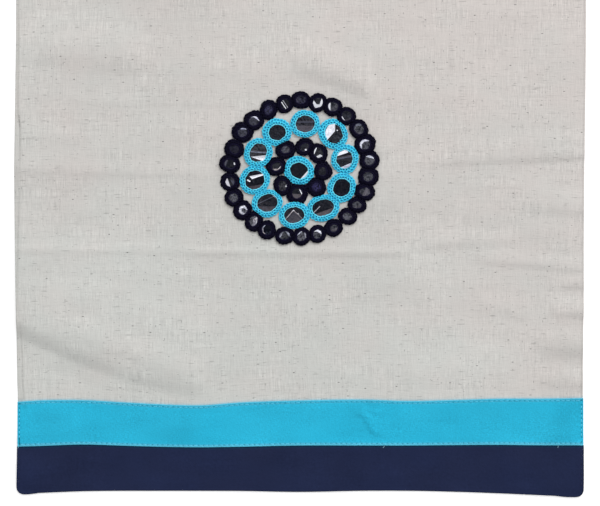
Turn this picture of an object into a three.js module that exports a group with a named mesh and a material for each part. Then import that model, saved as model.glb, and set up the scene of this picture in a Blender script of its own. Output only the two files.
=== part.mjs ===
// A natural linen table runner, laid flat and face up: a navy and a turquoise cotton band cross its
// near end, and a round medallion of small mirrors in thread rings is sewn above them.
// Millimetres, +Z up. X runs across the runner and Y along it, with the decorated end toward -Y.
// The origin lies on the surface, under the middle of the runner.
//
// The cloth is first laid out in its own flat frame: u runs across it from its centre line, and v
// along it from its near hem. lie() and lift() then put each flat point where it really lies.
import * as THREE from "three";

const RUNNER_WIDTH = 355;
const RUNNER_LENGTH = 1372;
const ORIGIN_V = 684; // halfway between the lowest point of the near hem and the far edge

const LINEN_THICK = 1.2;
const NAVY_THICK = 1.2;
const TURQUOISE_THICK = 1.0;
const SEAT_GAP = 0.3; // between cloth and what is sewn on it

const SIDE_HEM = { width: 2.5, rise: 0.3 }; // narrow rolled hem along both sides
const FAR_HEM = { width: 10, rise: 0.5 }; // turned and stitched hem at the plain end

const NAVY_SEAM_V = 28.2; // where the turquoise band's lower edge crosses the navy one
const NAVY_TOP_V = 34; // the navy cloth ends here, under the turquoise band
const TURQUOISE_MID_V = 45.2;
const TURQUOISE_TOP_V = 56.3;
const JOIN_GAP = 0.3;
const NAVY_OVERHANG = 0.4; // the navy band is this much wider on each side
const CORNER_RADIUS = 4;

const COLUMNS = 26;

// Rows of the linen's grid, closest together where the folds are.
const LINEN_ROWS = [
  { from: NAVY_TOP_V + JOIN_GAP, to: TURQUOISE_MID_V, steps: 1 },
  { from: TURQUOISE_MID_V, to: TURQUOISE_TOP_V, steps: 1 },
  { from: TURQUOISE_TOP_V, to: 120, steps: 9 },
  { from: 120, to: 144, steps: 3 },
  { from: 144, to: 153.6, steps: 2 },
  { from: 153.6, to: 300, steps: 13 },
  { from: 300, to: RUNNER_LENGTH - FAR_HEM.width, steps: 17 },
  { from: RUNNER_LENGTH - FAR_HEM.width, to: RUNNER_LENGTH, steps: 1 },
];
const TURQUOISE_ROWS = [
  { from: NAVY_SEAM_V, to: NAVY_TOP_V, steps: 1 },
  { from: NAVY_TOP_V, to: TURQUOISE_MID_V, steps: 1 },
  { from: TURQUOISE_MID_V, to: TURQUOISE_TOP_V, steps: 1 },
];
const NAVY_ROWS = [
  { from: 0, to: CORNER_RADIUS, steps: 3 },
  { from: CORNER_RADIUS, to: NAVY_SEAM_V, steps: 2 },
  { from: NAVY_SEAM_V, to: NAVY_TOP_V, steps: 1 },
];

// How far each side edge wanders out (+) or in (-), by distance from the near hem.
const SIDE_WANDER = [
  { v: 0, left: -1, right: -0.6 },
  { v: 20, left: -1.4, right: -0.5 },
  { v: 33, left: -1.4, right: -0.5 },
  { v: 58, left: -1.5, right: -0.5 },
  { v: 70, left: -1.1, right: -0.5 },
  { v: 95, left: -0.7, right: -0.3 },
  { v: 120, left: -0.2, right: 0.1 },
  { v: 145, left: 0.1, right: 0.1 },
  { v: 195, left: 0.8, right: 0.4 },
  { v: 245, left: 0.2, right: 1.1 },
  { v: 295, left: -0.4, right: 1.5 },
  { v: 480, left: -0.2, right: 0.7 },
  { v: 700, left: 0.2, right: 0.1 },
  { v: 1000, left: 0, right: 0.4 },
  { v: RUNNER_LENGTH, left: 0, right: 0 },
];

// How far the hem and the two seams above it sag (-) or rise (+) along Y, from left to right.
const SEAM_WANDER = [
  { u: -178, hem: -1.9, navySeam: -0.7, turquoiseTop: -0.7 },
  { u: -162, hem: -1.25, navySeam: -0.25, turquoiseTop: 0.3 },
  { u: -137, hem: -0.3, navySeam: 0.6, turquoiseTop: 0.4 },
  { u: -112, hem: 0, navySeam: -0.1, turquoiseTop: -0.95 },
  { u: -87, hem: 0, navySeam: -0.8, turquoiseTop: -2.25 },
  { u: -62, hem: 0, navySeam: -1.1, turquoiseTop: -2.8 },
  { u: -37, hem: -0.1, navySeam: -0.75, turquoiseTop: -1.05 },
  { u: 0, hem: -0.7, navySeam: 0, turquoiseTop: 0.2 },
  { u: 38, hem: 0, navySeam: 0, turquoiseTop: 0.7 },
  { u: 69, hem: 0, navySeam: 0, turquoiseTop: -0.15 },
  { u: 100, hem: -0.7, navySeam: 0.25, turquoiseTop: 0.55 },
  { u: 125, hem: -1.6, navySeam: 0.4, turquoiseTop: 1.25 },
  { u: 150, hem: -2.7, navySeam: 0.1, turquoiseTop: 1.3 },
  { u: 178, hem: -3.9, navySeam: 0.1, turquoiseTop: 1.6 },
];
const SEAM_WANDER_ENDS_V = 110;

// Soft folds, each a crest from (u0, v0) to (u1, v1). near and far are its half widths toward and
// away from the hem, h0 and h1 its heights at both ends, and sag bows its crest toward the hem.
// A crest fades out over `fade` millimetres past its ends.
const FOLDS = [
  { name: "roll across the near left corner",
    u0: -178, v0: 108, u1: -68, v1: 72, sag: 5, h0: 4.2, h1: 1.8, near: 13, far: 80, fade: 12 },
  { name: "shoulder of the roll",
    u0: -150, v0: 102, u1: -80, v1: 79, sag: 0, h0: 0.6, h1: 0.9, near: 9, far: 16, fade: 14 },
  { name: "tail of the roll",
    u0: -172, v0: 93, u1: -112, v1: 70, sag: 0, h0: 0.6, h1: 0.5, near: 13, far: 9, fade: 12 },
  { name: "press line under the medallion, left",
    u0: -174, v0: 150, u1: -68, v1: 149.6, sag: 0, h0: 0.5, h1: 0.25, near: 3.4, far: 6, fade: 10 },
  { name: "press line under the medallion, middle",
    u0: -60, v0: 149.2, u1: 58, v1: 148.8, sag: 0, h0: 0.6, h1: 0.75, near: 3.8, far: 4.6, fade: 14 },
  { name: "press line, right of centre",
    u0: 84, v0: 155.5, u1: 128, v1: 156, sag: 0, h0: 0.5, h1: 0.5, near: 5, far: 8, fade: 12 },
  { name: "press line, right edge",
    u0: 118, v0: 145.5, u1: 172, v1: 139, sag: -1, h0: 0.5, h1: 0.7, near: 5.5, far: 9, fade: 10 },
  { name: "pucker above the medallion",
    u0: 1, v0: 267, u1: 38, v1: 255, sag: 0, h0: 1.0, h1: 1.9, near: 11, far: 20, fade: 8 },
  { name: "slack at the upper left",
    u0: -152, v0: 277, u1: -112, v1: 274, sag: 0, h0: 1.6, h1: 1.4, near: 17, far: 24, fade: 20 },
  { name: "press line left of the medallion",
    u0: -176, v0: 202, u1: -64, v1: 202, sag: 0, h0: 0.5, h1: 0.3, near: 10, far: 16, fade: 8 },
  { name: "press line right of the medallion",
    u0: 70, v0: 207, u1: 176, v1: 213, sag: 0, h0: 0.2, h1: 1.1, near: 8, far: 15, fade: 8 },
  { name: "right edge ripple 1",
    u0: 150, v0: 180, u1: 178, v1: 176, sag: 0, h0: 0.6, h1: 1.1, near: 8, far: 14, fade: 14 },
  { name: "right edge ripple 2",
    u0: 168, v0: 129.5, u1: 178, v1: 129.5, sag: 0, h0: 0.7, h1: 0.9, near: 5, far: 8, fade: 7 },
  { name: "right edge ripple 3",
    u0: 162, v0: 113, u1: 178, v1: 111.5, sag: 0, h0: 0.8, h1: 1.3, near: 6, far: 10, fade: 10 },
  { name: "hollow inside ripple 3",
    u0: 118, v0: 115, u1: 138, v1: 112, sag: 0, h0: 0.5, h1: 0.5, near: 8, far: 10, fade: 10 },
  { name: "right edge ripple 4",
    u0: 158, v0: 91, u1: 178, v1: 89, sag: 0, h0: 0.9, h1: 1.4, near: 10, far: 13, fade: 12 },
  { name: "right edge ripple 5",
    u0: 156, v0: 69, u1: 178, v1: 68, sag: 0, h0: 0.7, h1: 1.2, near: 9, far: 9, fade: 14 },
  { name: "wrinkle in the turquoise band",
    u0: 38, v0: 50, u1: 46, v1: 38, sag: 0, h0: 0.7, h1: 0.7, near: 6, far: 8, fade: 10 },
  { name: "lifted near left corner",
    u0: -176, v0: 12, u1: -160, v1: 8, sag: 0, h0: 1.4, h1: 0.8, near: 10, far: 18, fade: 14 },
  { name: "lifted near right corner",
    u0: 160, v0: 6, u1: 178, v1: 9, sag: 0, h0: 0.8, h1: 1.2, near: 8, far: 16, fade: 14 },
];

// The medallion: circles of mirrors, each mirror in its own thread ring. angles are those of the
// rings' centres, in degrees, counterclockwise from +X. Each circle is a little oval: its radius
// grows by `oval` toward `ovalAt` and shrinks by as much across it.
const MEDALLION = { u: 0.4, v: 201.1 };
const SMALL_RING = { outer: 5.8, mirror: 3.3, segments: 12 };
const LARGE_RING = { outer: 8.9, mirror: 5.65, segments: 18 };
const CIRCLES = [
  { name: "outer_navy", size: SMALL_RING, radius: 42.9, oval: 0.8, ovalAt: 31, du: -0.35, dv: -0.2,
    angles: [90, 76, 63, 49, 34.5, 21, 7, -6.5, -19.5, -32, -44.5, -60, -74.5, -88,
      -102.5, -118, -131, -144, -156, -169.5, -184, -197, -213, -226.5, -241.5, -256] },
  { name: "middle_turquoise", size: LARGE_RING, radius: 28.8, oval: 0.8, ovalAt: 48, du: 0.15, dv: -0.5,
    angles: [85, 48.5, 13, -23.5, -59.5, -97.5, -134, -167, -201.5, -237.5] },
  { name: "inner_navy", size: SMALL_RING, radius: 15, oval: 0.2, ovalAt: -46, du: -0.2, dv: -0.6,
    angles: [80, 42.5, -2, -48, -95, -137.5, -189, -233.5] },
  { name: "centre_turquoise", size: LARGE_RING, radius: 0, oval: 0, ovalAt: 0, du: -0.4, dv: -1.2,
    angles: [0] },
];
// Cross sections of the rings: reach runs from the mirror's edge (0) to the outer edge (1).
const SMALL_SECTION = [
  { reach: 0.9, z: 0 },
  { reach: 1, z: 0.8 },
  { reach: 0.55, z: 1.8 },
  { reach: 0, z: 1.5 },
  { reach: 0, z: 0.8 },
];
const LARGE_SECTION = [
  { reach: 0.04, z: 0 },
  { reach: 0.92, z: 0 },
  { reach: 1, z: 0.9 },
  { reach: 0.55, z: 2.1 },
  { reach: 0, z: 1.6 },
];
const LARGE_MIRROR_THICK = 0.9;

const materials = {
  linen: new THREE.MeshStandardMaterial({ color: 0xcac9c4, roughness: 0.95, metalness: 0 }),
  turquoiseCotton: new THREE.MeshStandardMaterial({ color: 0x2eb3d6, roughness: 0.9, metalness: 0 }),
  navyCotton: new THREE.MeshStandardMaterial({ color: 0x232a46, roughness: 0.9, metalness: 0 }),
  turquoiseThread: new THREE.MeshStandardMaterial({ color: 0x32c3e6, roughness: 0.8, metalness: 0 }),
  navyThread: new THREE.MeshStandardMaterial({ color: 0x14122a, roughness: 0.8, metalness: 0 }),
  mirror: new THREE.MeshStandardMaterial({ color: 0xc8cacc, roughness: 0.06, metalness: 1 }),
};

// Reads a column of a table at `at`, with a smooth curve through its rows.
function readTable(rows, key, column, at) {
  const last = rows.length - 1;
  if (at <= rows[0][key]) return rows[0][column];
  if (at >= rows[last][key]) return rows[last][column];
  const i = rows.findIndex((row) => row[key] > at) - 1;
  const slope = (k) => {
    const a = rows[Math.max(k - 1, 0)];
    const b = rows[Math.min(k + 1, last)];
    return (b[column] - a[column]) / (b[key] - a[key]);
  };
  const span = rows[i + 1][key] - rows[i][key];
  const t = (at - rows[i][key]) / span;
  return (
    rows[i][column] * (2 * t ** 3 - 3 * t ** 2 + 1) +
    slope(i) * span * (t ** 3 - 2 * t ** 2 + t) +
    rows[i + 1][column] * (3 * t ** 2 - 2 * t ** 3) +
    slope(i + 1) * span * (t ** 3 - t ** 2)
  );
}

// How far a point is moved along Y by the wander of the hem and the seams.
function seamShift(u, v) {
  const lines = [
    { v: 0, shift: readTable(SEAM_WANDER, "u", "hem", u) },
    { v: NAVY_SEAM_V, shift: readTable(SEAM_WANDER, "u", "navySeam", u) },
    { v: TURQUOISE_TOP_V, shift: readTable(SEAM_WANDER, "u", "turquoiseTop", u) },
    { v: SEAM_WANDER_ENDS_V, shift: 0 },
  ];
  return readTable(lines, "v", "shift", v);
}

// Where a flat point lies in plan.
function lie(u, v) {
  const across = u / RUNNER_WIDTH + 0.5;
  const left = readTable(SIDE_WANDER, "v", "left", v);
  const right = readTable(SIDE_WANDER, "v", "right", v);
  return {
    x: u - left * (1 - across) + right * across,
    y: v + seamShift(u, v) - ORIGIN_V,
  };
}

// A soft bump, 1 at 0 and 0 from 1 on.
function bump(t) {
  return Math.abs(t) < 1 ? (1 - t * t) ** 2 : 0;
}

// How high the cloth's underside lies above the surface: 0 but for the folds.
function lift(u, v) {
  let height = 0;
  for (const fold of FOLDS) {
    const length = fold.u1 - fold.u0;
    const t = THREE.MathUtils.clamp((u - fold.u0) / length, 0, 1);
    const past = Math.max(fold.u0 - u, u - fold.u1, 0);
    const crest = fold.v0 + (fold.v1 - fold.v0) * t - fold.sag * Math.sin(Math.PI * t);
    const half = v < crest ? fold.near : fold.far;
    const top = fold.h0 + (fold.h1 - fold.h0) * t;
    height += top * bump((v - crest) / half) * bump(past / fold.fade);
  }
  return height;
}

// How much thicker the cloth is at its hems.
function hemRise(u, v) {
  const side = RUNNER_WIDTH / 2 - Math.abs(u) < SIDE_HEM.width / 2 ? SIDE_HEM.rise : 0;
  const far = RUNNER_LENGTH - v <= FAR_HEM.width ? FAR_HEM.rise : 0;
  return Math.max(side, far);
}

function rowStops(spans) {
  const stops = [spans[0].from];
  for (const span of spans) {
    for (let i = 1; i <= span.steps; i++) {
      stops.push(span.from + ((span.to - span.from) * i) / span.steps);
    }
  }
  return stops;
}

// Places across the cloth from -1 to 1: even columns, and one at the inside of each side hem.
function columnStops() {
  const hem = SIDE_HEM.width / (RUNNER_WIDTH / 2);
  const stops = [-1];
  for (let i = 0; i <= COLUMNS - 2; i++) {
    stops.push(-1 + hem + ((2 - 2 * hem) * i) / (COLUMNS - 2));
  }
  stops.push(1);
  return stops;
}

// Half the cloth's width at v, drawn in where its near corners are rounded.
function halfWidth(v, extra, cornered) {
  const half = RUNNER_WIDTH / 2 + extra;
  const short = CORNER_RADIUS - v;
  if (!cornered || short <= 0) return half;
  return half - CORNER_RADIUS + Math.sqrt(CORNER_RADIUS ** 2 - short ** 2);
}

// A closed geometry from points and triangles.
function solid(points, triangles) {
  const geometry = new THREE.BufferGeometry();
  geometry.setAttribute("position", new THREE.Float32BufferAttribute(points.flat(), 3));
  geometry.setIndex(triangles.flat());
  geometry.computeVertexNormals();
  return geometry;
}

// A sheet that follows the lying cloth: `base` above its underside, `thick` high, hems included.
function sheet({ rows, base, thick, overHem, extra = 0, cornered = false }) {
  const vs = rowStops(rows);
  const across = columnStops();
  const wide = across.length;
  const points = [];
  for (const face of ["under", "top"]) {
    for (const v of vs) {
      for (const s of across) {
        const u = s * halfWidth(v, extra, cornered);
        const { x, y } = lie(u, v);
        const rise = hemRise(s * (RUNNER_WIDTH / 2), v);
        const under = lift(u, v) + base + (overHem ? rise : 0);
        points.push([x, y, face === "under" ? under : under + thick + (overHem ? 0 : rise)]);
      }
    }
  }
  const at = (layer, row, column) => layer * vs.length * wide + row * wide + column;
  const triangles = [];
  const quad = (a, b, c, d) => triangles.push([a, b, c], [a, c, d]);
  for (let r = 0; r < vs.length - 1; r++) {
    for (let c = 0; c < wide - 1; c++) {
      quad(at(1, r, c), at(1, r, c + 1), at(1, r + 1, c + 1), at(1, r + 1, c));
      triangles.push([at(0, r, c), at(0, r + 1, c + 1), at(0, r, c + 1)]);
      triangles.push([at(0, r, c), at(0, r + 1, c), at(0, r + 1, c + 1)]);
    }
    quad(at(0, r + 1, 0), at(0, r, 0), at(1, r, 0), at(1, r + 1, 0));
    quad(at(0, r, wide - 1), at(0, r + 1, wide - 1), at(1, r + 1, wide - 1), at(1, r, wide - 1));
  }
  const last = vs.length - 1;
  for (let c = 0; c < wide - 1; c++) {
    quad(at(0, 0, c), at(0, 0, c + 1), at(1, 0, c + 1), at(1, 0, c));
    quad(at(0, last, c + 1), at(0, last, c), at(1, last, c), at(1, last, c + 1));
  }
  return solid(points, triangles);
}

// The rings, each with its place on the cloth and its number on its circle.
function ringPlaces() {
  const places = [];
  for (const circle of CIRCLES) {
    circle.angles.forEach((degrees, i) => {
      const angle = THREE.MathUtils.degToRad(degrees);
      const turn = 2 * THREE.MathUtils.degToRad(degrees - circle.ovalAt);
      const radius = circle.radius + circle.oval * Math.cos(turn);
      const u = MEDALLION.u + circle.du + radius * Math.cos(angle);
      const v = MEDALLION.v + circle.dv + radius * Math.sin(angle);
      const number = String(i + 1).padStart(2, "0");
      places.push({ name: `${circle.name}_ring_${number}`, size: circle.size, ...lie(u, v) });
    });
  }
  return places;
}

// A ring's outer radius toward an angle: its own size, or less where a neighbour touches it.
// Neighbours share the line between them, half the seat gap away on each side.
function outerRadius(ring, places, angle) {
  let radius = ring.size.outer;
  for (const other of places) {
    const apart = Math.hypot(other.x - ring.x, other.y - ring.y);
    const reach = ring.size.outer + other.size.outer;
    if (other === ring || apart > reach + SEAT_GAP) continue;
    const facing = Math.cos(angle - Math.atan2(other.y - ring.y, other.x - ring.x));
    const limit = (apart * ring.size.outer) / reach - SEAT_GAP / 2;
    if (facing > 0) radius = Math.min(radius, limit / facing);
  }
  return radius;
}

// A ring swept around its mirror. A section that closes on itself leaves a hole, and one that
// doesn't is closed at the ring's centre, below and above.
function sweepRing(ring, places, section, closed) {
  const { segments, mirror } = ring.size;
  const count = section.length;
  const points = [];
  const triangles = [];
  for (let s = 0; s < segments; s++) {
    const angle = (s * 2 * Math.PI) / segments;
    const outer = outerRadius(ring, places, angle);
    for (const { reach, z } of section) {
      const radius = mirror + (outer - mirror) * reach;
      points.push([radius * Math.cos(angle), radius * Math.sin(angle), z]);
    }
  }
  const at = (s, k) => (s % segments) * count + (k % count);
  const bands = closed ? count : count - 1;
  for (let s = 0; s < segments; s++) {
    for (let k = 0; k < bands; k++) {
      triangles.push([at(s, k), at(s + 1, k), at(s + 1, k + 1)], [at(s, k), at(s + 1, k + 1), at(s, k + 1)]);
    }
  }
  if (!closed) {
    const below = points.push([0, 0, section[0].z]) - 1;
    const above = points.push([0, 0, section[count - 1].z]) - 1;
    for (let s = 0; s < segments; s++) {
      triangles.push([below, at(s + 1, 0), at(s, 0)], [above, at(s, count - 1), at(s + 1, count - 1)]);
    }
  }
  return solid(points, triangles);
}

const runner = new THREE.Group();

function add(name, geometry, material) {
  const mesh = new THREE.Mesh(geometry, material);
  mesh.name = name;
  runner.add(mesh);
  return mesh;
}

add("linen_panel", sheet({ rows: LINEN_ROWS, base: 0, thick: LINEN_THICK }), materials.linen);
add(
  "navy_band",
  sheet({ rows: NAVY_ROWS, base: 0, thick: NAVY_THICK, extra: NAVY_OVERHANG, cornered: true }),
  materials.navyCotton,
);
add(
  "turquoise_band",
  sheet({
    rows: TURQUOISE_ROWS,
    base: LINEN_THICK + SEAT_GAP,
    thick: TURQUOISE_THICK,
    overHem: true,
  }),
  materials.turquoiseCotton,
);

const ringZ = LINEN_THICK + SEAT_GAP;
const places = ringPlaces();
for (const ring of places) {
  const small = ring.size === SMALL_RING;
  const section = small ? SMALL_SECTION : LARGE_SECTION;
  const thread = small ? materials.navyThread : materials.turquoiseThread;
  add(ring.name, sweepRing(ring, places, section, !small), thread).position.set(ring.x, ring.y, ringZ);
  if (small) continue;
  const disc = new THREE.CylinderGeometry(
    ring.size.mirror - SEAT_GAP,
    ring.size.mirror - SEAT_GAP,
    LARGE_MIRROR_THICK,
    ring.size.segments,
  );
  disc.rotateX(Math.PI / 2);
  const mirror = add(ring.name.replace("_ring_", "_mirror_"), disc, materials.mirror);
  mirror.position.set(ring.x, ring.y, ringZ + LARGE_MIRROR_THICK / 2);
}

export default runner;
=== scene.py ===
import math
from functools import partial
from itertools import combinations

import bmesh
import bpy
import numpy as np
from mathutils import Matrix, Vector, noise


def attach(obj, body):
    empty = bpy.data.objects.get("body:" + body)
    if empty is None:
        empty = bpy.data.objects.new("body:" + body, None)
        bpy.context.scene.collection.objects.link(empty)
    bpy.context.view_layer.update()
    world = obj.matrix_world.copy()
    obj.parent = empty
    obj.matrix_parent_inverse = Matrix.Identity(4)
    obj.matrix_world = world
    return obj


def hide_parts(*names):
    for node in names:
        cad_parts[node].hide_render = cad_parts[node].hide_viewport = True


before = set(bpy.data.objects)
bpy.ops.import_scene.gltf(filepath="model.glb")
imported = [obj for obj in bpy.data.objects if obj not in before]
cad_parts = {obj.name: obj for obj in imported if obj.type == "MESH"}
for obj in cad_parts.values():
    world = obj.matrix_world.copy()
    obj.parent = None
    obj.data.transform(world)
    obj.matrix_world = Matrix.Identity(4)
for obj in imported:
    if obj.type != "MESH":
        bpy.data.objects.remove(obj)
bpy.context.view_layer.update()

# A natural linen table runner, laid flat and face up. A navy and a turquoise cotton band cross its
# near end, and a round medallion of small mirrors in crocheted rings is sewn above them.
# Tables and sizes are in millimetres. The cloth is first laid out flat, u across it from its centre
# line and v along it from its near hem, and lie() and lay() then put each flat point in its place.


def table(columns, *rows):
    """Rows of values under named columns. A row may leave out its last values."""
    return [dict(zip(columns.split(), row)) for row in rows]


MM = 0.001
WIDTH = 355
LENGTH = 1372
ORIGIN_V = 684  # this v lies at the frame's origin

LINEN_THICK = 1.2
NAVY_THICK = 1.2
TURQUOISE_THICK = 1.0
TURQUOISE_GAP = 0.08  # air between the turquoise band and the cloth under it

NAVY_SEAM_V = 28.2
NAVY_TOP_V = 34
TURQUOISE_TOP_V = 56.3
JOIN_GAP = 0.3
# The bands' edges reach this far past their flat outline, at the sides and at the hem.
NAVY_OVERHANG = 0.55
NAVY_TUCK = 0.5  # how far its sides draw in again under the turquoise band
HEM_OVERHANG = 0.12
TURQUOISE_OVERHANG = 0.2
CORNER_RADIUS = 4
SEAM_WANDER_ENDS_V = 110
# Where the hem dips a little further than its solid's outline, at both near corners.
HEM_DIPS = table("u half_width drop", (-171, 8.5, 0.62), (168, 9, 0.5))
HEM_DIP_ENDS_V = 9
FAR_HEM_WIDTH = 10
FAR_HEM_RISE = 0.5  # the fold makes the cloth that much thicker
FAR_HEM_INSET = 1.2  # its stitches run this far from the fold's edge
TURQUOISE_MIDDLE_V = 42
BITE_V = 230.5  # where the left hem's stitches bite far into the cloth

PHOTO_WIDTH = 600  # pixels
PHOTO_HEIGHT = 506
PHOTO_CENTRE_X = 299.65  # the pixel column on the runner's centre line
PHOTO_HEM_Y = 490.7  # the pixel row of its near hem
PIXEL = 0.6247  # one pixel of the photograph on the cloth

# How far each side edge wanders out (+) or in (-), by distance from the near hem.
SIDE_WANDER = table(
    "v left right",
    (0, -1, -0.6), (20, -1.4, -0.5), (33, -1.4, -0.5), (58, -1.5, -0.5), (70, -1.1, -0.5),
    (95, -0.7, -0.3), (120, -0.2, 0.1), (145, 0.1, 0.1), (195, 0.8, 0.4), (245, 0.2, 1.1),
    (295, -0.4, 1.5), (480, -0.2, 0.7), (700, 0.2, 0.1), (1000, 0, 0.4), (LENGTH, 0, 0),
)

# How far the hem and the two seams above it sag (-) or rise (+) along Y.
SEAM_WANDER = table(
    "u hem navy_seam turquoise_top",
    (-178, -1.9, -0.7, -0.7), (-162, -1.25, -0.25, 0.3), (-137, -0.3, 0.6, 0.4),
    (-112, 0, -0.1, -0.95), (-87, 0, -0.8, -2.25), (-62, 0, -1.1, -2.8), (-37, -0.1, -0.75, -1.05),
    (0, -0.7, 0, 0.2), (38, 0, 0, 0.7), (69, 0, 0, -0.15), (100, -0.7, 0.25, 0.55),
    (125, -1.6, 0.4, 1.25), (150, -2.7, 0.1, 1.3), (178, -3.9, 0.1, 1.6),
)

# A fold is a soft crest from start to end, both (u, v). heights are those at its ends, near and far
# its half widths toward and away from the hem, fade how far it runs on past its ends, and sag how far
# it bows toward the hem. The solids have these folds too.
FOLD_COLUMNS = "name start end heights near far fade sag"
FOLDS = table(
    FOLD_COLUMNS,
    ("roll across the near left corner", (-178, 108), (-68, 72), (4.2, 1.8), 13, 80, 12, 5),
    ("shoulder of the roll", (-150, 102), (-80, 79), (0.6, 0.9), 9, 16, 14),
    ("tail of the roll", (-172, 93), (-112, 70), (0.6, 0.5), 13, 9, 12),
    ("press line under the medallion, left", (-174, 150), (-68, 149.6), (0.5, 0.25), 3.4, 6, 10),
    ("press line under the medallion, middle", (-60, 149.2), (58, 148.8), (0.6, 0.75), 3.8, 4.6, 14),
    ("press line, right of centre", (84, 155.5), (128, 156), (0.5, 0.5), 5, 8, 12),
    ("press line, right edge", (118, 145.5), (172, 139), (0.5, 0.7), 5.5, 9, 10, -1),
    ("pucker above the medallion", (1, 267), (38, 255), (1.0, 1.9), 11, 20, 8),
    ("slack at the upper left", (-152, 277), (-112, 274), (1.6, 1.4), 17, 24, 20),
    ("press line left of the medallion", (-176, 202), (-64, 202), (0.5, 0.3), 10, 16, 8),
    ("press line right of the medallion", (70, 207), (176, 213), (0.2, 1.1), 8, 15, 8),
    ("right edge ripple 1", (150, 180), (178, 176), (0.6, 1.1), 8, 14, 14),
    ("right edge ripple 2", (168, 129.5), (178, 129.5), (0.7, 0.9), 5, 8, 7),
    ("right edge ripple 3", (162, 113), (178, 111.5), (0.8, 1.3), 6, 10, 10),
    ("hollow inside ripple 3", (118, 115), (138, 112), (0.5, 0.5), 8, 10, 10),
    ("right edge ripple 4", (158, 91), (178, 89), (0.9, 1.4), 10, 13, 12),
    ("right edge ripple 5", (156, 69), (178, 68), (0.7, 1.2), 9, 9, 14),
    ("wrinkle in the turquoise band", (38, 50), (46, 38), (0.7, 0.7), 6, 8, 10),
    ("lifted near left corner", (-176, 12), (-160, 8), (1.4, 0.8), 10, 18, 14),
    ("lifted near right corner", (160, 6), (178, 9), (0.8, 1.2), 8, 16, 14),
)

# Fine creases that only the visible cloth has: shallow troughs (-) and ridges (+).
CREASES = table(
    FOLD_COLUMNS,
    ("left press line", (-176, 200), (-60, 197), (0.3, 0.2), 2.2, 9, 6),
    ("upper left press line", (-140, 243), (-50, 241), (0.16, 0.16), 2, 7, 10),
    ("right press line", (54, 203), (176, 208.5), (0.15, 0.35), 2, 7, 6),
    ("swell right of the medallion", (52, 188), (64, 188), (0.5, 0.5), 18, 20, 12),
    ("swell left of the medallion", (-75, 190), (-56, 190), (0.5, 0.5), 18, 20, 12),
    ("swell below the medallion", (46, 137), (72, 137), (0.45, 0.45), 20, 16, 14),
    ("light slope at the lower right", (74, 74), (118, 72), (0.5, 0.5), 12, 26, 20),
    ("thin crease right of the medallion", (75.6, 150.8), (98, 154.8), (0.16, 0.22), 1.9, 6, 5),
    ("thin crease at the right", (112, 142.3), (152, 140), (0.16, 0.24), 1.9, 7, 8),
    ("band wrinkle 1", (41, 50.3), (48, 48.2), (0.26, 0.2), 1.3, 3, 3),
    ("band wrinkle 2", (36.5, 47.3), (44.6, 44.8), (0.24, 0.16), 1.3, 3, 2),
    ("band wrinkle 3", (44, 37.3), (49, 35.6), (0.22, 0.22), 1.6, 3, 2),
)

# Each side hem's stitch line: how far in from the edge it runs, and how deep it is pulled.
LEFT_HEM = table(
    "v inset depth",
    (56, 3.7, 0.5), (85, 3.3, 0.42), (104, 2.4, 0.3), (122, 1.3, 0.3), (160, 2.2, 0.38),
    (194, 3.4, 0.2), (226, 3.4, 0.6), (237, 2.0, 0.5), (262, 1.8, 0.4), (300, 1.6, 0.35),
    (LENGTH, 1.8, 0.35),
)
RIGHT_HEM = table(
    "v inset depth",
    (56, 1.2, 0.3), (76, 1.0, 0.3), (95, 0.95, 0.25), (130, 1.0, 0.2), (160, 1.1, 0.08),
    (LENGTH, 1.1, 0.08),
)

# The pitch of the stitches, and how far in from a band's long and side edges their rows run.
BAND_STITCH = {"inset": 1.5, "lower_inset": 1.25, "pitch": 3.2, "side_inset": 1.0, "side_pitch": 2.75}
HEM_PITCH = 3
BAND_GROOVE = 0.2  # how deep in the cloth's top the stitches lie
HEM_GROOVE = 0.16


def hermite(knots, values, at):
    """A smooth curve through values at the knots, read at `at`. A value may itself be an array."""
    knots = np.array(knots, float)
    values = np.array([np.broadcast_to(v, np.shape(at)) for v in values], float)
    at = np.clip(at, knots[0], knots[-1])
    last = len(knots) - 1
    i = np.clip(np.searchsorted(knots, at, side="right") - 1, 0, last - 1)
    pick = lambda k: np.take_along_axis(values, k[None], 0)[0]
    slope = lambda a, b: (pick(b) - pick(a)) / (knots[b] - knots[a])
    start, end = slope(np.maximum(i - 1, 0), i + 1), slope(i, np.minimum(i + 2, last))
    span = knots[i + 1] - knots[i]
    t = (at - knots[i]) / span
    through = pick(i) * (2 * t**3 - 3 * t**2 + 1) + pick(i + 1) * (3 * t**2 - 2 * t**3)
    return through + span * (start * (t**3 - 2 * t**2 + t) + end * (t**3 - t**2))


def read_table(rows, key, column, at):
    """A column's smooth value where the key column is `at`."""
    return hermite([row[key] for row in rows], [row[column] for row in rows], at)


def lie(u, v):
    """Where flat points lie in plan."""
    across = u / WIDTH + 0.5
    left = read_table(SIDE_WANDER, "v", "left", v)
    right = read_table(SIDE_WANDER, "v", "right", v)
    lines = [read_table(SEAM_WANDER, "u", name, u) for name in ("hem", "navy_seam", "turquoise_top")]
    shift = hermite([0, NAVY_SEAM_V, TURQUOISE_TOP_V, SEAM_WANDER_ENDS_V], [*lines, 0 * u], v)
    return u - left * (1 - across) + right * across, v + shift - ORIGIN_V


def bump(t):
    """1 at 0, falling softly to 0 at 1 and beyond."""
    return np.where(np.abs(t) < 1, (1 - t * t) ** 2, 0)


def ramp(t):
    """Rises smoothly from 0 to 1 as t does."""
    t = np.clip(t, 0, 1)
    return t * t * (3 - 2 * t)


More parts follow.
